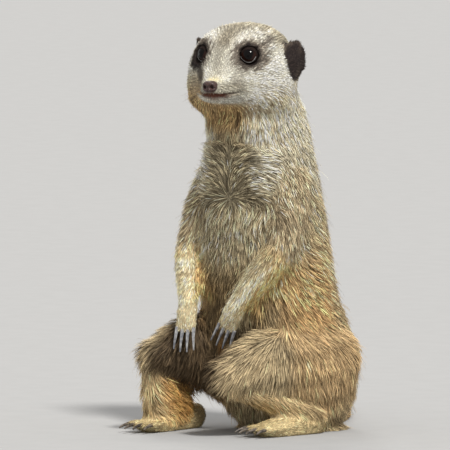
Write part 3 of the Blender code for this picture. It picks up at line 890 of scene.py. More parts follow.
def unwrap(points, kind_index, h):
    """Where each root lies on an unwrap of the skin: turned round the axis of its part, and along it."""
    u, v = np.zeros(len(points)), np.zeros(len(points))
    for k, kind in enumerate(KINDS):
        mine = kind_index == k
        if not mine.any():
            continue
        p = points[mine]
        if kind in ("head", "ear"):
            q = h[mine] - [0.0, -4.0, 216.0]
            angle, rise = np.arctan2(q[:, 0], q[:, 2] + 2.0), q[:, 1]
        elif kind in LIMBS:
            angle, rise = unwrap_limb(p, kind)
        elif kind in ("tail", "tail_tip"):
            angle, rise = unwrap_tail(p)
        else:
            angle, rise = np.arctan2(p[:, 0], -(p[:, 1] + 24.0)), p[:, 2]
        low, high = rise.min(), rise.max()
        u[mine] = angle / (2 * math.pi) + 0.5
        v[mine] = (rise - low) / max(high - low, 1e-6)
    return u, v


# Side of a lock's patch on the unwrap; size of a clump of locks; share of locks that stray.
PATCH = 0.003
CLUMP_SIZE = 3.0
STRAYS = 0.03
# How far each root is set under the skin.
ROOT_DEPTH = 0.25
# Where the rings of three points lie along a lock, before its tip.
RING_PLACES = {2: (0.0, 0.55), 3: (0.0, 0.4, 0.75)}


def lock_points(roots, normals, ways, seed, rings, fields, streak, rng):
    """Points of tapered locks, the directions of their soft normals, and each point's share of the length.
    Each lock runs from its root along the coat, rises to the coat's depth by the formula
    depth * (1 - (1 - t)^2) at share t of its length, bends with the field of ripples, and leans towards
    the centre of its clump by t^2. Across, it is a shallow roof of three points; its last point is the
    tip."""
    length, width, depth, clump, _, wander = fields
    count = len(roots)
    length = length * rng.uniform(0.72, 1.22, count)
    height = depth * rng.uniform(0.55, 1.15, count)
    height = height * (1 + 0.18 * np.clip(streak, -1.5, 1.5))
    stray = rng.uniform(size=count) > 1 - STRAYS
    height = np.where(stray, height * 1.9, height)
    length = np.where(stray, length * 1.2, length)
    width = np.where(stray, width * 0.7, width)
    bend = ripples(roots, 19.0, seed + 1) * wander[:, None] * 1.6
    bend += rng.normal(size=(count, 3)) * wander[:, None] * 0.9
    ways = pull_to_plane(ways + bend, normals)
    curl = pull_to_plane(ripples(roots, 7.0, seed + 2), normals)
    curl = curl * (0.07 * length * rng.uniform(-1, 1, count))[:, None]
    centre = clump_centres(roots + ways * (length * 0.6)[:, None], CLUMP_SIZE, seed)
    lean = centre - (roots + ways * (length * 0.8)[:, None])
    lean -= normals * np.sum(lean * normals, axis=1, keepdims=True)
    lean *= clump[:, None] * np.minimum(1.0, 5.0 / np.maximum(np.linalg.norm(lean, axis=1), 1e-6))[:, None]
    roll = rng.uniform(-0.6, 0.6, count)[:, None]
    across = unit(np.cross(ways, normals) * np.cos(roll) + normals * np.sin(roll))
    over = unit(np.cross(across, ways))
    points, soft, shade = [], [], []
    for t in (*RING_PLACES[rings], 1.0):
        path = roots - normals * ROOT_DEPTH + ways * (length * t)[:, None] + curl * t * t + lean * t * t
        path = path + normals * (height * (1 - (1 - t) ** 2))[:, None]
        wide = (width * (0.75 + 0.6 * t) * (1 - t**3))[:, None]
        roof = [path - across * wide / 2, path + over * wide * 0.28, path + across * wide / 2]
        facing = [over - across * 0.6, over, over + across * 0.6]
        points.append(np.stack(roof if t < 1.0 else [path], axis=1))
        soft.append(np.stack(facing if t < 1.0 else [over], axis=1))
        shade.append(np.full((count, points[-1].shape[1]), t))
    points, soft, shade = (np.concatenate(rows, axis=1) for rows in (points, soft, shade))
    points[:, :, 2] = np.maximum(points[:, :, 2], FLOOR_CLEAR)
    return points, unit(soft + normals[:, None] * 0.8), shade


def lock_faces(count, rings):
    """Corners and sizes of all locks' faces: two quads between rings, and two triangles to the tip."""
    last, tip = 3 * (rings - 1), 3 * rings
    starts = [3 * ring + half for ring in range(rings - 1) for half in (0, 1)]
    quads = [(k, k + 1, k + 4, k + 3) for k in starts]
    tips = [(last, last + 1, tip), (last + 1, last + 2, tip)]
    corners = np.concatenate([np.array(face) for face in (*quads, *tips)])
    sizes = np.tile([4] * len(quads) + [3] * len(tips), count)
    return (corners[None] + (np.arange(count) * (tip + 1))[:, None]).ravel(), sizes


def add_colour(mesh, name, values):
    """A colour for each point of the mesh, under a name that the materials read."""
    layer = mesh.color_attributes.new(name, "FLOAT_COLOR", "POINT")
    layer.data.foreach_set("color", values.astype(np.float32).ravel())


def add_patches(mesh, faces, shade, uv):
    """The map OFBake: every lock's small patch at the place of its root."""
    rings = shade.shape[1] // 3
    sideways = np.tile(np.array([-0.5, 0.0, 0.5] * rings + [0.0]), (len(shade), 1))
    u = uv[0][:, None] * (1 - 2 * PATCH) + PATCH + sideways * PATCH
    v = uv[1][:, None] * (1 - 2 * PATCH) + PATCH + (shade - 0.5) * PATCH
    place = np.stack([u, v], axis=2).reshape(-1, 2)
    layer = mesh.uv_layers.new(name="OFBake")
    layer.data.foreach_set("uv", place[faces].astype(np.float32).ravel())


def lock_mesh(name, roots, normals, ways, seed, rings, fields, streak, ink, uv):
    """Tapered locks in one mesh, with the marking's ink, each point's share of the length, a chance and the
    dark ticking of each lock, and the map."""
    rng = np.random.default_rng(seed)
    points, soft, shade = lock_points(roots, normals, ways, seed, rings, fields, streak, rng)
    count, per = shade.shape
    faces, sizes = lock_faces(count, rings)
    obj = new_mesh(name, points.reshape(-1, 3), faces, sizes)
    mesh = obj.data
    mesh.normals_split_custom_set_from_vertices(soft.reshape(-1, 3).astype(np.float32))
    flat_ink = np.ones((count, per, 4))
    flat_ink[:, :, :3] = ink[:, None]
    strand = np.ones((count, per, 4))
    strand[:, :, 0] = shade
    strand[:, :, 1] = rng.uniform(size=(count, 1))
    strand[:, :, 2] = (rng.uniform(size=count) < fields[TICK])[:, None] * rng.uniform(0.5, 1.0, (count, 1))
    add_colour(mesh, "ink", flat_ink)
    add_colour(mesh, "strand", strand)
    add_patches(mesh, faces, shade, uv)
    return obj


# ---------------------------------------------------------------- materials
def socket(tree, name, kind, way, value=None):
    """A named input or output of a group."""
    made = tree.interface.new_socket(name, in_out=way, socket_type=kind)
    if value is not None:
        made.default_value = value


def math_node(tree, operation, *values):
    """The result of an operation on sockets and plain numbers."""
    node = tree.nodes.new("ShaderNodeMath")
    node.operation = operation
    for place, value in enumerate(values):
        if isinstance(value, (int, float)):
            node.inputs[place].default_value = value
        else:
            tree.links.new(value, node.inputs[place])
    return node.outputs[0]


def rising(tree, value, low, high):
    """0 below low and 1 above high, smoothly."""
    node = tree.nodes.new("ShaderNodeMapRange")
    node.interpolation_type = "SMOOTHSTEP"
    tree.links.new(value, node.inputs["Value"])
    node.inputs["From Min"].default_value = low
    node.inputs["From Max"].default_value = high
    return node.outputs["Result"]


def scaled_colour(tree, colour, factor):
    """A colour made lighter or darker by a factor."""
    node = tree.nodes.new("ShaderNodeVectorMath")
    node.operation = "SCALE"
    tree.links.new(colour, node.inputs[0])
    tree.links.new(factor, node.inputs["Scale"])
    return node.outputs["Vector"]


def coat_tone_group():
    """Colour of a hair: the marking's ink, darker at the root, lighter or darker by chance, and with a dark
    band below the tip where it is ticked."""
    tree = bpy.data.node_groups.new("coat_tone", "ShaderNodeTree")
    socket(tree, "Ink", "NodeSocketColor", "INPUT", (0.4, 0.3, 0.2, 1.0))
    socket(tree, "Along", "NodeSocketFloat", "INPUT", 0.5)
    socket(tree, "Chance", "NodeSocketFloat", "INPUT", 0.5)
    socket(tree, "Ticked", "NodeSocketFloat", "INPUT", 0.0)
    socket(tree, "Color", "NodeSocketColor", "OUTPUT")
    socket(tree, "Roughness", "NodeSocketFloat", "OUTPUT")
    inside, out = tree.nodes.new("NodeGroupInput"), tree.nodes.new("NodeGroupOutput")
    along, chance = inside.outputs["Along"], inside.outputs["Chance"]
    root = math_node(tree, "MULTIPLY_ADD", rising(tree, along, 0.0, 0.6), 0.55, 0.45)
    luck = math_node(tree, "MULTIPLY_ADD", chance, 0.6, 0.72)
    band = math_node(tree, "MULTIPLY", rising(tree, along, 0.25, 0.6), inside.outputs["Ticked"])
    dark = math_node(tree, "MULTIPLY_ADD", band, -0.72, 1.0)
    tone = math_node(tree, "MULTIPLY", math_node(tree, "MULTIPLY", root, luck), dark)
    tree.links.new(scaled_colour(tree, inside.outputs["Ink"], tone), out.inputs["Color"])
    tree.links.new(math_node(tree, "MULTIPLY_ADD", chance, -0.2, 0.72), out.inputs["Roughness"])
    return tree


def grain_group():
    """Fine skin relief and its shade, from two sizes of noise on the object's own coordinates."""
    tree = bpy.data.node_groups.new("fine_grain", "ShaderNodeTree")
    socket(tree, "Scale", "NodeSocketFloat", "INPUT", 900.0)
    socket(tree, "Fine", "NodeSocketFloat", "OUTPUT")
    socket(tree, "Height", "NodeSocketFloat", "OUTPUT")
    inside, out = tree.nodes.new("NodeGroupInput"), tree.nodes.new("NodeGroupOutput")
    where = tree.nodes.new("ShaderNodeTexCoord")
    values = []
    for share, detail in ((1.0, 3.0), (0.35, 2.0)):
        noise = tree.nodes.new("ShaderNodeTexNoise")
        noise.inputs["Detail"].default_value = detail
        tree.links.new(where.outputs["Object"], noise.inputs["Vector"])
        tree.links.new(math_node(tree, "MULTIPLY", inside.outputs["Scale"], share), noise.inputs["Scale"])
        values.append(noise.outputs["Fac"])
    tree.links.new(rising(tree, values[0], 0.3, 0.7), out.inputs["Fine"])
    tree.links.new(math_node(tree, "MULTIPLY_ADD", values[1], 0.5, values[0]), out.inputs["Height"])
    return tree


TONE = coat_tone_group()
GRAIN = grain_group()


def start_material(name, roughness, specular=0.5):
    """A new material, its nodes and its shader."""
    made = bpy.data.materials.new(name)
    made.use_nodes = True
    shader = made.node_tree.nodes["Principled BSDF"]
    shader.inputs["Roughness"].default_value = roughness
    shader.inputs["Specular IOR Level"].default_value = specular
    return made, made.node_tree, shader


def group_node(tree, group):
    """A group placed in a material."""
    node = tree.nodes.new("ShaderNodeGroup")
    node.node_tree = group
    return node


def attribute_node(tree, name):
    """What the mesh holds under a name."""
    node = tree.nodes.new("ShaderNodeAttribute")
    node.attribute_name = name
    return node


def add_bump(tree, shader, height, distance):
    """Relief of a depth in metres."""
    node = tree.nodes.new("ShaderNodeBump")
    node.inputs["Distance"].default_value = distance
    node.inputs["Strength"].default_value = 1.0
    tree.links.new(height, node.inputs["Height"])
    tree.links.new(node.outputs["Normal"], shader.inputs["Normal"])


def grain_colour(tree, shader, low, high, scale):
    """Base colour that wanders between two inks with the grain; gives the grain's node."""
    grain = group_node(tree, GRAIN)
    grain.inputs["Scale"].default_value = scale
    mix = tree.nodes.new("ShaderNodeMix")
    mix.data_type = "RGBA"
    mix.inputs[6].default_value = (*low, 1.0)
    mix.inputs[7].default_value = (*high, 1.0)
    tree.links.new(grain.outputs["Fine"], mix.inputs[0])
    tree.links.new(mix.outputs[2], shader.inputs["Base Color"])
    return grain


def coat_material():
    """Hair in the marking's ink, shaded along each lock and ticked by the group of coat tones."""
    made, tree, shader = start_material("coat_hair", 0.65, 0.12)
    tone = group_node(tree, TONE)
    tree.links.new(attribute_node(tree, "ink").outputs["Color"], tone.inputs["Ink"])
    split = tree.nodes.new("ShaderNodeSeparateColor")
    tree.links.new(attribute_node(tree, "strand").outputs["Color"], split.inputs["Color"])
    for channel, name in (("Red", "Along"), ("Green", "Chance"), ("Blue", "Ticked")):
        tree.links.new(split.outputs[channel], tone.inputs[name])
    tree.links.new(tone.outputs["Color"], shader.inputs["Base Color"])
    tree.links.new(tone.outputs["Roughness"], shader.inputs["Roughness"])
    return made


def skin_material():
    """Skin in the marking's ink, as dark as the roots of the hair, with fine relief."""
    made, tree, shader = start_material("skin_under_coat", 0.75, 0.2)
    tone, grain = group_node(tree, TONE), group_node(tree, GRAIN)
    grain.inputs["Scale"].default_value = 1100.0
    tone.inputs["Along"].default_value = 0.3
    tree.links.new(attribute_node(tree, "ink").outputs["Color"], tone.inputs["Ink"])
    tree.links.new(grain.outputs["Fine"], tone.inputs["Chance"])
    tree.links.new(tone.outputs["Color"], shader.inputs["Base Color"])
    add_bump(tree, shader, grain.outputs["Height"], 0.0004)
    return made


def plain_material(name, low, high, roughness, specular, scale, relief, coat=0.0):
    """A finish whose colour wanders between two inks with the grain."""
    made, tree, shader = start_material(name, roughness, specular)
    shader.inputs["Coat Weight"].default_value = coat
    shader.inputs["Coat Roughness"].default_value = 0.05
    grain = grain_colour(tree, shader, low, high, scale)
    add_bump(tree, shader, grain.outputs["Height"], relief)
    return made


# Colours of the eye by the angle from the gaze, as a share of half a turn: pupil, iris, its dark rim, white.
EYE_STOPS = (
    (0.0, (0.002, 0.0015, 0.0015)),
    (0.115, (0.002, 0.0015, 0.0015)),
    (0.15, (0.016, 0.006, 0.004)),
    (0.23, (0.024, 0.009, 0.006)),
    (0.27, (0.006, 0.004, 0.003)),
    (0.5, (0.012, 0.009, 0.008)),
    (1.0, (0.05, 0.035, 0.03)),
)


def eye_material():
    """Dark brown iris round a black pupil, told apart by the attribute that holds the angle from the gaze,
    under a wet clear layer. The attribute is shrunk on the upper half, so the black spreads up there:
    painted shade of the upper lid."""
    made, tree, shader = start_material("wet_eye", 0.08, 0.1)
    shader.inputs["Coat Weight"].default_value = 0.12
    shader.inputs["Coat Roughness"].default_value = 0.02
    stops = tree.nodes.new("ShaderNodeValToRGB")
    tree.links.new(attribute_node(tree, "gaze_angle_lid_shaded").outputs["Fac"], stops.inputs["Fac"])
    ring = stops.color_ramp.elements
    for end, (place, colour) in zip(ring, (EYE_STOPS[0], EYE_STOPS[-1])):
        end.position = place
        end.color = (*colour, 1.0)
    for place, colour in EYE_STOPS[1:-1]:
        ring.new(place).color = (*colour, 1.0)
    tree.links.new(stops.outputs["Color"], shader.inputs["Base Color"])
    return made


COAT = coat_material()
SKIN = skin_material()
LID = plain_material("lid_rim", srgb(26, 20, 19), srgb(44, 36, 33), 0.85, 0.05, 1600.0, 0.00012)
# Edge of the lower lid: its pale grey inks are a painted reflection of the bright sky on the wet rim.
PAINTED_REFLECTION_RIM = plain_material("lower_lid_painted_reflection", srgb(70, 64, 62), srgb(158, 158, 156), 0.35, 0.3, 900.0, 0.00004)
NOSE_PAD = plain_material("nose_pad", srgb(40, 26, 25), srgb(84, 62, 58), 0.4, 0.35, 2600.0, 0.00012, 0.1)
HORN = plain_material("claw_horn", srgb(106, 108, 116), srgb(176, 176, 176), 0.3, 0.5, 420.0, 0.00003, 0.3)
FOOT_HORN = plain_material("foot_claw_horn", srgb(58, 52, 48), srgb(118, 108, 96), 0.45, 0.3, 420.0, 0.00003)
WHISKER = plain_material("whisker", srgb(70, 58, 46), srgb(150, 134, 110), 0.4, 0.4, 300.0, 0.00001)
WET_EYE = eye_material()


def dress(obj, finish):
    """Give a piece one finish."""
    obj.data.materials.clear()
    obj.data.materials.append(finish)


def hold(obj, slot, *nodes):
    """The piece rides on the body, and the CAD nodes it takes the place of are hidden; the slot is not used.
    """
    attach(obj, "root")
    if nodes:
        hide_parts(*nodes)


# ---------------------------------------------------------------- skin and coat in place
points, triangles, normals, table, net = make_skin()
skin_ink = np.ones((len(points), 4))
skin_ink[:, :3] = net.spread(markings(points, table), 2)
skin = new_mesh("skin", points, triangles)
add_colour(skin.data, "ink", skin_ink)
dress(skin, SKIN)
hold(skin, "body_fur", *FLESH)

lie = coat_lie(points, table, net, normals)


def bare_places(h, face):
    """1 where no hair grows: on the eyeball, the nose pad and the parting of the lips, and where the body
    meets the floor."""
    eyeball = ramp(6.25, 5.9, from_eye(h)) * face
    pad = ramp(1.12, 0.98, on_pad(h)) * ramp(-35.5, -37.5, h[:, 1])
    lips = bump(h[:, 2] - mouth_height(h[:, 1]), 0.75) * ramp(-26.0, -30.0, h[:, 1]) * face
    floor = ramp(0.9, 0.3, points[:, 2]) + ramp(-0.75, -0.95, normals[:, 2]) * ramp(6.0, 3.0, points[:, 2])
    return np.clip(np.maximum.reduce([eyeball, pad, lips]), 0, 1), np.clip(floor, 0, 1)


# Order of the fields that coat_fields gives; the first six shape a lock.
FIELDS = ("length", "width", "depth", "clump", "tick", "wander", "contrast", "dense")
LENGTH, TICK, CONTRAST, DENSE = (FIELDS.index(name) for name in ("length", "tick", "contrast", "dense"))


def coat_fields():
    """The columns of COATS at each point of the skin, changed where the hair is shorter, longer or bare."""
    length, width, depth, dense, clump, tick, wander, contrast = (table @ column(name) for name in COLUMNS)
    h = to_head(points)
    face = share_of(table, "head")
    muzzle = ramp(-12.0, -28.0, h[:, 1]) * face
    short = np.maximum(muzzle, ramp(14.0, 8.0, from_eye(h)) * face)
    length = length * (1 - short) + 1.5 * short
    width = width * (1 - short) + 0.22 * short
    depth = depth * (1 - short) + SHORT_DEPTH * short
    dense = dense * (1 + 1.2 * short)
    cheek = ramp(214.0, 202.0, h[:, 2]) * ramp(-18.0, -2.0, h[:, 1]) * face
    length = length + 3.2 * cheek
    depth = depth + 1.4 * cheek
    clump = clump + 0.15 * cheek
    tick = tick * (1 - 0.6 * cheek) * (1 - 0.5 * muzzle)
    by_ear = round_ear(h) * face
    length = length * (1 - by_ear) + 2.0 * by_ear
    depth = depth * (1 - by_ear) + 0.5 * by_ear
    core, _ = eye_patch(h)
    tick = tick * (1 - core * face)
    y, z = points[:, 1], points[:, 2]
    breast = ramp(124.0, 138.0, z) * ramp(182.0, 168.0, z) * ramp(-40.0, -54.0, y)
    contrast = contrast * (1 + 0.3 * breast)
    contrast = contrast * (1 - 0.5 * core * face) * (1 - 0.4 * muzzle)
    bare, floor = bare_places(h, face)
    dense = dense * (1 - bare) * (1 - floor)
    return np.stack([length, width, depth, clump, tick, wander, contrast, dense], axis=1)


fields = coat_fields()
chosen, shares = scattered(points, triangles, None, np.random.default_rng(3), fields[:, DENSE])
corners = triangles[chosen]


def at_roots(values):
    """What lies on the skin's points, read at the roots."""
    return np.einsum("ij,ij...->i...", shares, values[corners])


roots = at_roots(points)
root_normals = unit(at_roots(normals))
root_ways = pull_to_plane(at_roots(lie), root_normals)
root_fields = at_roots(fields)
root_kinds = np.argmax(at_roots(table), axis=1)
root_h = to_head(roots)
root_uv = unwrap(roots, root_kinds, root_h)


def kind_is(*names):
    """Whether each root's coat is of one of the kinds."""
    return np.isin(root_kinds, [KINDS.index(name) for name in names])


# Distance between fine streaks, and between the broad ones of thigh and shin.
FINE_STREAK = 0.95
BROAD_STREAK = 2.6


def root_streaks():
    """How pale or dark each lock is among its neighbours: fine streaks along the coat, mixed on thigh and
    shin with broader ones."""
    length = root_fields[:, LENGTH]
    reach = length * (0.22 + 0.35 * ramp(9.0, 10.5, length))
    fine = streaks(roots, root_ways, FINE_STREAK, reach, 17)
    wide = streaks(roots, root_ways, BROAD_STREAK, reach * 1.4, 19)
    broad = 0.55 * kind_is("thigh", "shin")
    return (1 - broad) * fine + broad * 1.2 * wide


def streaked(ink, streak, contrast):
    """Inks made paler or darker by the streaks. Pale locks are a little warmer, and dark locks browner."""
    shades = (np.clip(streak, -2.2, 2.2) * contrast)[:, None]
    shades = np.exp(shades * np.where(shades > 0, [1.0, 0.985, 0.94], [0.9, 1.0, 1.12]))
    return np.clip(ink * shades, 0.003, 0.92)


root_streak = root_streaks()
root_ink = streaked(markings(roots, at_roots(table)), root_streak, root_fields[:, CONTRAST])
FRONT = roots[:, 1] < -26.0
# Each piece of the coat: its roots, the rings of its locks and its slot.
COAT_PIECES = {
    "coat_face": (kind_is("head") & (root_h[:, 1] < -6), 2, "face_fur"),
    "coat_crown": (kind_is("head") & (root_h[:, 1] >= -6), 2, "face_fur"),
    "coat_ears": (kind_is("ear"), 2, "ear_fur"),
    "coat_neck": (kind_is("neck"), 3, "body_fur"),
    "coat_breast": (kind_is("chest") & FRONT, 3, "body_fur"),
    "coat_back": (kind_is("chest") & ~FRONT, 3, "body_fur"),
    "coat_belly": (kind_is("rump") & FRONT, 3, "body_fur"),
    "coat_rump": (kind_is("rump") & ~FRONT, 3, "body_fur"),
    "coat_arms": (kind_is("upper_arm", "forearm"), 3, "pale_fur"),
    "coat_hands": (kind_is("hand"), 2, "pale_fur"),
    "coat_thighs": (kind_is("thigh"), 3, "body_fur"),
    "coat_shins": (kind_is("shin"), 3, "body_fur"),
    "coat_feet": (kind_is("foot"), 2, "foot_fur"),
    "coat_tail": (kind_is("tail"), 3, "tail_fur"),
    "coat_tail_tip": (kind_is("tail_tip"), 3, "tail_tip_fur"),
}
FIRST_SEED = 100
SEED_STEP = 10
for order, (name, (mine, rings, slot)) in enumerate(COAT_PIECES.items()):
    piece = lock_mesh(
        name,
        roots[mine],
        root_normals[mine],
        root_ways[mine],
        FIRST_SEED + order * SEED_STEP,
        rings,
        root_fields[mine, :CONTRAST].T,
        root_streak[mine],
        root_ink[mine],
        (root_uv[0][mine], root_uv[1][mine]),
    )
    dress(piece, COAT)
    hold(piece, slot)


# ---------------------------------------------------------------- eyes, lids, nose, whiskers, claws
def grid_faces(rows, columns, closed):
    """Quads of a grid of rows and columns, whose columns join round if closed."""
    row, col = np.meshgrid(np.arange(rows - 1), np.arange(columns if closed else columns - 1), indexing="ij")
    here, after = row * columns, (row + 1) * columns
    right = (col + 1) % columns
    return np.stack([here + col, here + right, after + right, after + col], axis=-1).reshape(-1, 4)


def round_solid(name, place):
    """A closed piece from a grid of points in head coordinates. The columns join round, and the first and
    last rows are single points, from the front pole to the back."""
    rows, columns = place.shape[:2]
    rings = place[1:-1].reshape(-1, 3)
    first, last = len(rings), len(rings) + 1
    k = np.arange(columns)
    right, base = (k + 1) % columns, len(rings) - columns
    caps = np.stack([np.full(columns, first), k, right], axis=1)
    ends = np.stack([np.full(columns, last), base + right, base + k], axis=1)
    faces = grid_faces(rows - 2, columns, True)
    corners = np.concatenate([faces.ravel(), caps.ravel(), ends.ravel()])
    sizes = np.concatenate([np.full(len(faces), 4), np.full(2 * columns, 3)])
    return new_mesh(name, from_head(np.vstack([rings, place[[0, -1], 0]])), corners, sizes)


def round_gaze(side, theta, phi, radius, turn=1.0):
    """Places at the angle theta from an eye's gaze, turned round it by phi, at a radius from its centre."""
    gaze = GAZE * [side, 1, 1]
    across = unit(np.cross([0.0, 0.0, 1.0], gaze))
    up = np.cross(gaze, across)
    return (
        EYE * [side, 1, 1]
        + (radius * np.cos(theta))[..., None] * gaze
        + (radius * np.sin(theta) * np.cos(phi))[..., None] * (across * turn)
        + (radius * np.sin(theta) * np.sin(phi))[..., None] * up
    )


EYE_GRID = (40, 48)
LID_COLUMNS = 72
WET_COLUMNS = 48
# How far the cornea stands out, as a share of the radius, and how far from the gaze it begins.
CORNEA = 0.045
CORNEA_EDGE = math.radians(38)
# How much farther from the gaze the iris's colours begin under the upper lid's shade.
LID_SHADE = 0.42
# Where the lids meet: towards the nose and towards the ear.
NOSE_CORNER = math.radians(188)
EAR_CORNER = math.radians(12)
# Each lid from its free edge outwards: degrees past the edge, and distance from the eye's centre.
LID_EDGE = [(0.0, 5.7), (0.0, 5.88), (1.5, 5.98), (5.0, 6.02)]
LID_PROFILE = [*LID_EDGE, (12.0, 6.0), (22.0, 5.95), (34.0, 5.9), (48.0, 5.8)]
WET_PROFILE = [(-3.2, 5.7), (-3.0, 5.9), (-1.2, 5.98), (1.4, 6.02), (2.4, 5.8)]
WET_ARC = (NOSE_CORNER, math.radians(352))
# How far the upper lid comes down over each eye, in degrees.
UPPER_LID = {"left": 7.0, "right": 13.0}


def eyeball(name, side):
    """A sphere whose front swells into a clear cornea: its radius rises smoothly towards the gaze. It holds
    the angle from the gaze for the colours, shrunk on the upper half as painted shade of the upper lid.
    """
    rows, columns = EYE_GRID
    theta = np.linspace(0.0, math.pi, rows)[:, None]
    phi = np.linspace(0, 2 * math.pi, columns, endpoint=False)[None]
    radius = EYE_RADIUS * (1 + CORNEA * ramp(CORNEA_EDGE, 0.0, theta))
    obj = round_solid(name, round_gaze(side, theta, phi, radius))
    shaded = theta / math.pi * (1 - LID_SHADE * ramp(-0.3, 0.8, np.sin(phi)))
    angle = np.concatenate([shaded[1:-1].ravel(), [0.0, 1.0]])
    layer = obj.data.attributes.new("gaze_angle_lid_shaded", "FLOAT", "POINT")
    layer.data.foreach_set("value", angle.astype(np.float32))
    return obj


def lid_surface(name, side, droop, profile, phi, closed):
    """A lid that hugs the eyeball. Round the gaze by the angle phi, its free edge lies at an angle from the
    gaze that makes an almond; the profile carries it outwards."""
    towards_nose = bump(np.angle(np.exp(1j * (phi - NOSE_CORNER))), 0.42)
    towards_ear = bump(np.angle(np.exp(1j * (phi - EAR_CORNER))), 0.5)
    edge = 45.0 + 13.0 * towards_nose + 6.0 * towards_ear
    edge -= droop * np.maximum(np.sin(phi), 0) ** 2
    rows = [round_gaze(side, np.radians(edge + past), phi, radius, side) for past, radius in profile]
    faces = grid_faces(len(profile), len(phi), closed)
    if side < 0:
        faces = faces[:, ::-1]
    return new_mesh(name, from_head(np.stack(rows).reshape(-1, 3)), faces)


ALL_ROUND = np.linspace(0, 2 * math.pi, LID_COLUMNS, endpoint=False)
BELOW = np.linspace(*WET_ARC, WET_COLUMNS)
for name, side in SIDES.items():
    eye = eyeball(f"eyeball_{name}", side)
    dress(eye, WET_EYE)
    hold(eye, "eye", f"eye_{name}")
    lid = lid_surface(f"eyelids_{name}", side, UPPER_LID[name], LID_PROFILE, ALL_ROUND, True)
    dress(lid, LID)
    hold(lid, "face_fur")
    # The lower lid's edge, made pale by painted reflection.
    wet = lid_surface(f"lower_lid_painted_reflection_{name}", side, UPPER_LID[name], WET_PROFILE, BELOW, False)
    dress(wet, PAINTED_REFLECTION_RIM)
    hold(wet, "face_fur")

PAD_GRID = (64, 96)
# The pad is rounder than a box and squarer than an egg, by this power.
PAD_POWER = 2.6


def nose_surface():
    """The nose pad: a squarish egg with a comma-shaped hollow for each nostril and a groove between them."""
    rows, columns = PAD_GRID
    theta = np.linspace(0.0, math.pi, rows)[:, None]
    phi = np.linspace(0, 2 * math.pi, columns, endpoint=False)[None]
    x = np.sin(theta) * np.cos(phi)
    z = np.sin(theta) * np.sin(phi)
    y = -np.cos(theta) * np.ones_like(phi)
    reach = (np.abs(x) ** PAD_POWER + np.abs(z) ** PAD_POWER + np.abs(y) ** PAD_POWER) ** (-1 / PAD_POWER)
    x, y, z = (way * reach * half for way, half in zip((x, y, z), PAD_HALF))
    front = ramp(0.5, -1.5, y)
    hole = np.hypot((np.abs(x) - 2.2) / 1.15, (z + 0.1 - 0.25 * (np.abs(x) - 2.2)) / 1.05)
    slit = np.hypot((np.abs(x) - 3.5) / 1.5, (z + 0.7) / 0.42)
    y = y + front * (2.6 * bump(hole, 1.0) + 0.9 * bump(slit, 1.0))
    y = y + front * 0.7 * bump(x, 0.45) * ramp(1.0, -0.5, z)
    wings = bump(hole, 1.9) - bump(hole, 1.1)
    y = y - front * 0.45 * wings
    return round_solid("nose_pad", np.stack([x, y, z], axis=-1) + PAD)


nose = nose_surface()
dress(nose, NOSE_PAD)
hold(nose, "nose_skin", "nose")

WHISKER_RINGS = 12
WHISKER_CORNERS = 3
WHISKER_RADIUS = 0.14
WHISKER_DROOP = 3.0


def whiskers():
    """Long tapering hairs on both sides of the muzzle: each is a three-sided tube along an arc that droops
    by the square of its length."""
    rng = np.random.default_rng(21)
    roots, ways, lengths = [], [], []
    for side in SIDES.values():
        for row, k in np.ndindex(3, 4):
            roots.append([side * (6.6 + 1.0 * k), -33.5 + 2.4 * k, 207.2 + 1.4 * row - 0.3 * k])
            ways.append([side * (0.85 + 0.06 * k), -0.35 + 0.2 * k, -0.25 + 0.22 * row])
            lengths.append(13.0 + 2.2 * k)
    roots, ways, lengths = np.array(roots), unit(np.array(ways)), np.array(lengths)
    ways = unit(ways + rng.normal(size=ways.shape) * 0.10)
    t = np.linspace(0.0, 1.0, WHISKER_RINGS)
    path = roots[:, None] + ways[:, None] * (lengths[:, None] * t)[..., None]
    path[:, :, 2] -= WHISKER_DROOP * t**2
    across = unit(np.cross(ways, [0.0, 0.0, 1.0]))
    over = np.cross(across, ways)
    rings = []
    for corner in range(WHISKER_CORNERS):
        angle = 2 * math.pi * corner / WHISKER_CORNERS
        out = across * math.cos(angle) + over * math.sin(angle)
        rings.append(path + out[:, None] * (WHISKER_RADIUS * (1 - 0.93 * t))[None, :, None])
    place = np.stack(rings, axis=2)
    per = WHISKER_RINGS * WHISKER_CORNERS
    first = (np.arange(len(roots)) * per)[:, None, None]
    faces = (grid_faces(WHISKER_RINGS, WHISKER_CORNERS, True)[None] + first).reshape(-1, 4)
    caps = (np.array([[2, 1, 0], [per - 3, per - 2, per - 1]])[None] + first).reshape(-1, 3)
    corners = np.concatenate([faces.ravel(), caps.ravel()])
    sizes = np.concatenate([np.full(len(faces), 4), np.full(len(caps), 3)])
    return new_mesh("whiskers", from_head(place.reshape(-1, 3)), corners, sizes)


hair = whiskers()
dress(hair, WHISKER)
hold(hair, "face_fur")

for limb, finish in (("hand", HORN), ("foot", FOOT_HORN)):
    for name in SIDES:
        for k in range(4):
            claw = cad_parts[f"claw_{limb}_{name}_{k + 1}"]
            for place in claw.material_slots:
                place.material = finish

# ---------------------------------------------------------------- floor, lights and camera
CAMERA_AZIMUTH = 42.0
CAMERA_RISE = 4.0
CAMERA_FAR = 6.0
LOOK_AT = np.array([-0.0134, -0.044, 0.1245])
SEEN_WIDTH = 0.270
FLOOR_HALF = 40.0
FLOOR_INKS = ((0.383, 0.385, 0.3875), (0.393, 0.395, 0.3975))
FLOOR_GRAIN = 60.0
SKY = (1.0, 0.99, 0.975)
SKY_STRENGTH = 0.66
SUN_COLOUR = (1.0, 0.972, 0.925)
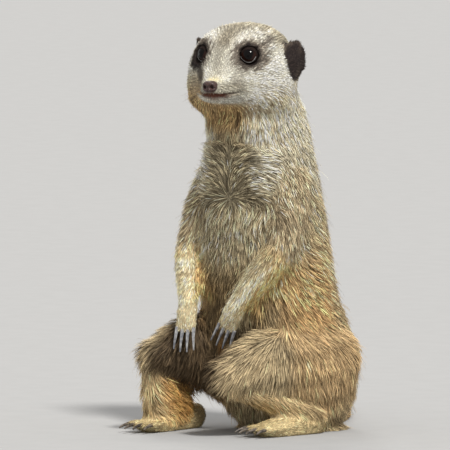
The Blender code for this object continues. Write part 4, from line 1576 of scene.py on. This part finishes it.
# Soft suns: name, azimuth and rise in degrees, strength, width in degrees.
SUNS = (("key", 66.0, 52.0, 3.3, 9.0), ("rim", 230.0, 40.0, 0.9, 20.0))


def way_of(azimuth, rise):
    """The direction that looks back at the part from an azimuth and a rise over the floor, in degrees."""
    turn, up = math.radians(azimuth), math.radians(rise)
    return np.array([math.sin(turn) * math.cos(up), -math.cos(turn) * math.cos(up), math.sin(up)])


def place_looking_back(name, data, place, away):
    """A lamp or camera at a place, turned so that it looks back along away."""
    obj = bpy.data.objects.new(name, data)
    obj.location = place
    obj.rotation_mode = "QUATERNION"
    obj.rotation_quaternion = (-Vector(away)).to_track_quat("-Z", "Y")
    bpy.context.scene.collection.objects.link(obj)
    return obj


def studio():
    """A wide pale floor under soft suns, whose brightness meets the sky's at the horizon."""
    corners = np.array([[-1, -1, 0], [1, -1, 0], [1, 1, 0], [-1, 1, 0]])
    ground = new_mesh("floor", corners * FLOOR_HALF / MM, np.array([[0, 1, 2, 3]]))
    finish, tree, shader = start_material("pale_floor", 0.9, 0.0)
    grain_colour(tree, shader, *FLOOR_INKS, FLOOR_GRAIN)
    dress(ground, finish)
    world = bpy.data.worlds.new("pale_sky")
    world.use_nodes = True
    world.node_tree.nodes["Background"].inputs["Color"].default_value = (*SKY, 1.0)
    world.node_tree.nodes["Background"].inputs["Strength"].default_value = SKY_STRENGTH
    bpy.context.scene.world = world
    for name, azimuth, rise, strength, wide in SUNS:
        data = bpy.data.lights.new(name, "SUN")
        data.angle = math.radians(wide)
        data.energy = strength
        data.color = SUN_COLOUR
        place_looking_back(name, data, LOOK_AT, way_of(azimuth, rise))


def camera():
    """A far camera with a long lens, so that the part is seen without stretching."""
    data = bpy.data.cameras.new("camera")
    data.lens = data.sensor_width * CAMERA_FAR / SEEN_WIDTH
    data.clip_end = 50.0
    away = way_of(CAMERA_AZIMUTH, CAMERA_RISE)
    bpy.context.scene.camera = place_looking_back("camera", data, LOOK_AT + away * CAMERA_FAR, away)


studio()
camera()
bpy.context.scene.view_settings.view_transform = "Standard"
bpy.context.view_layer.update()
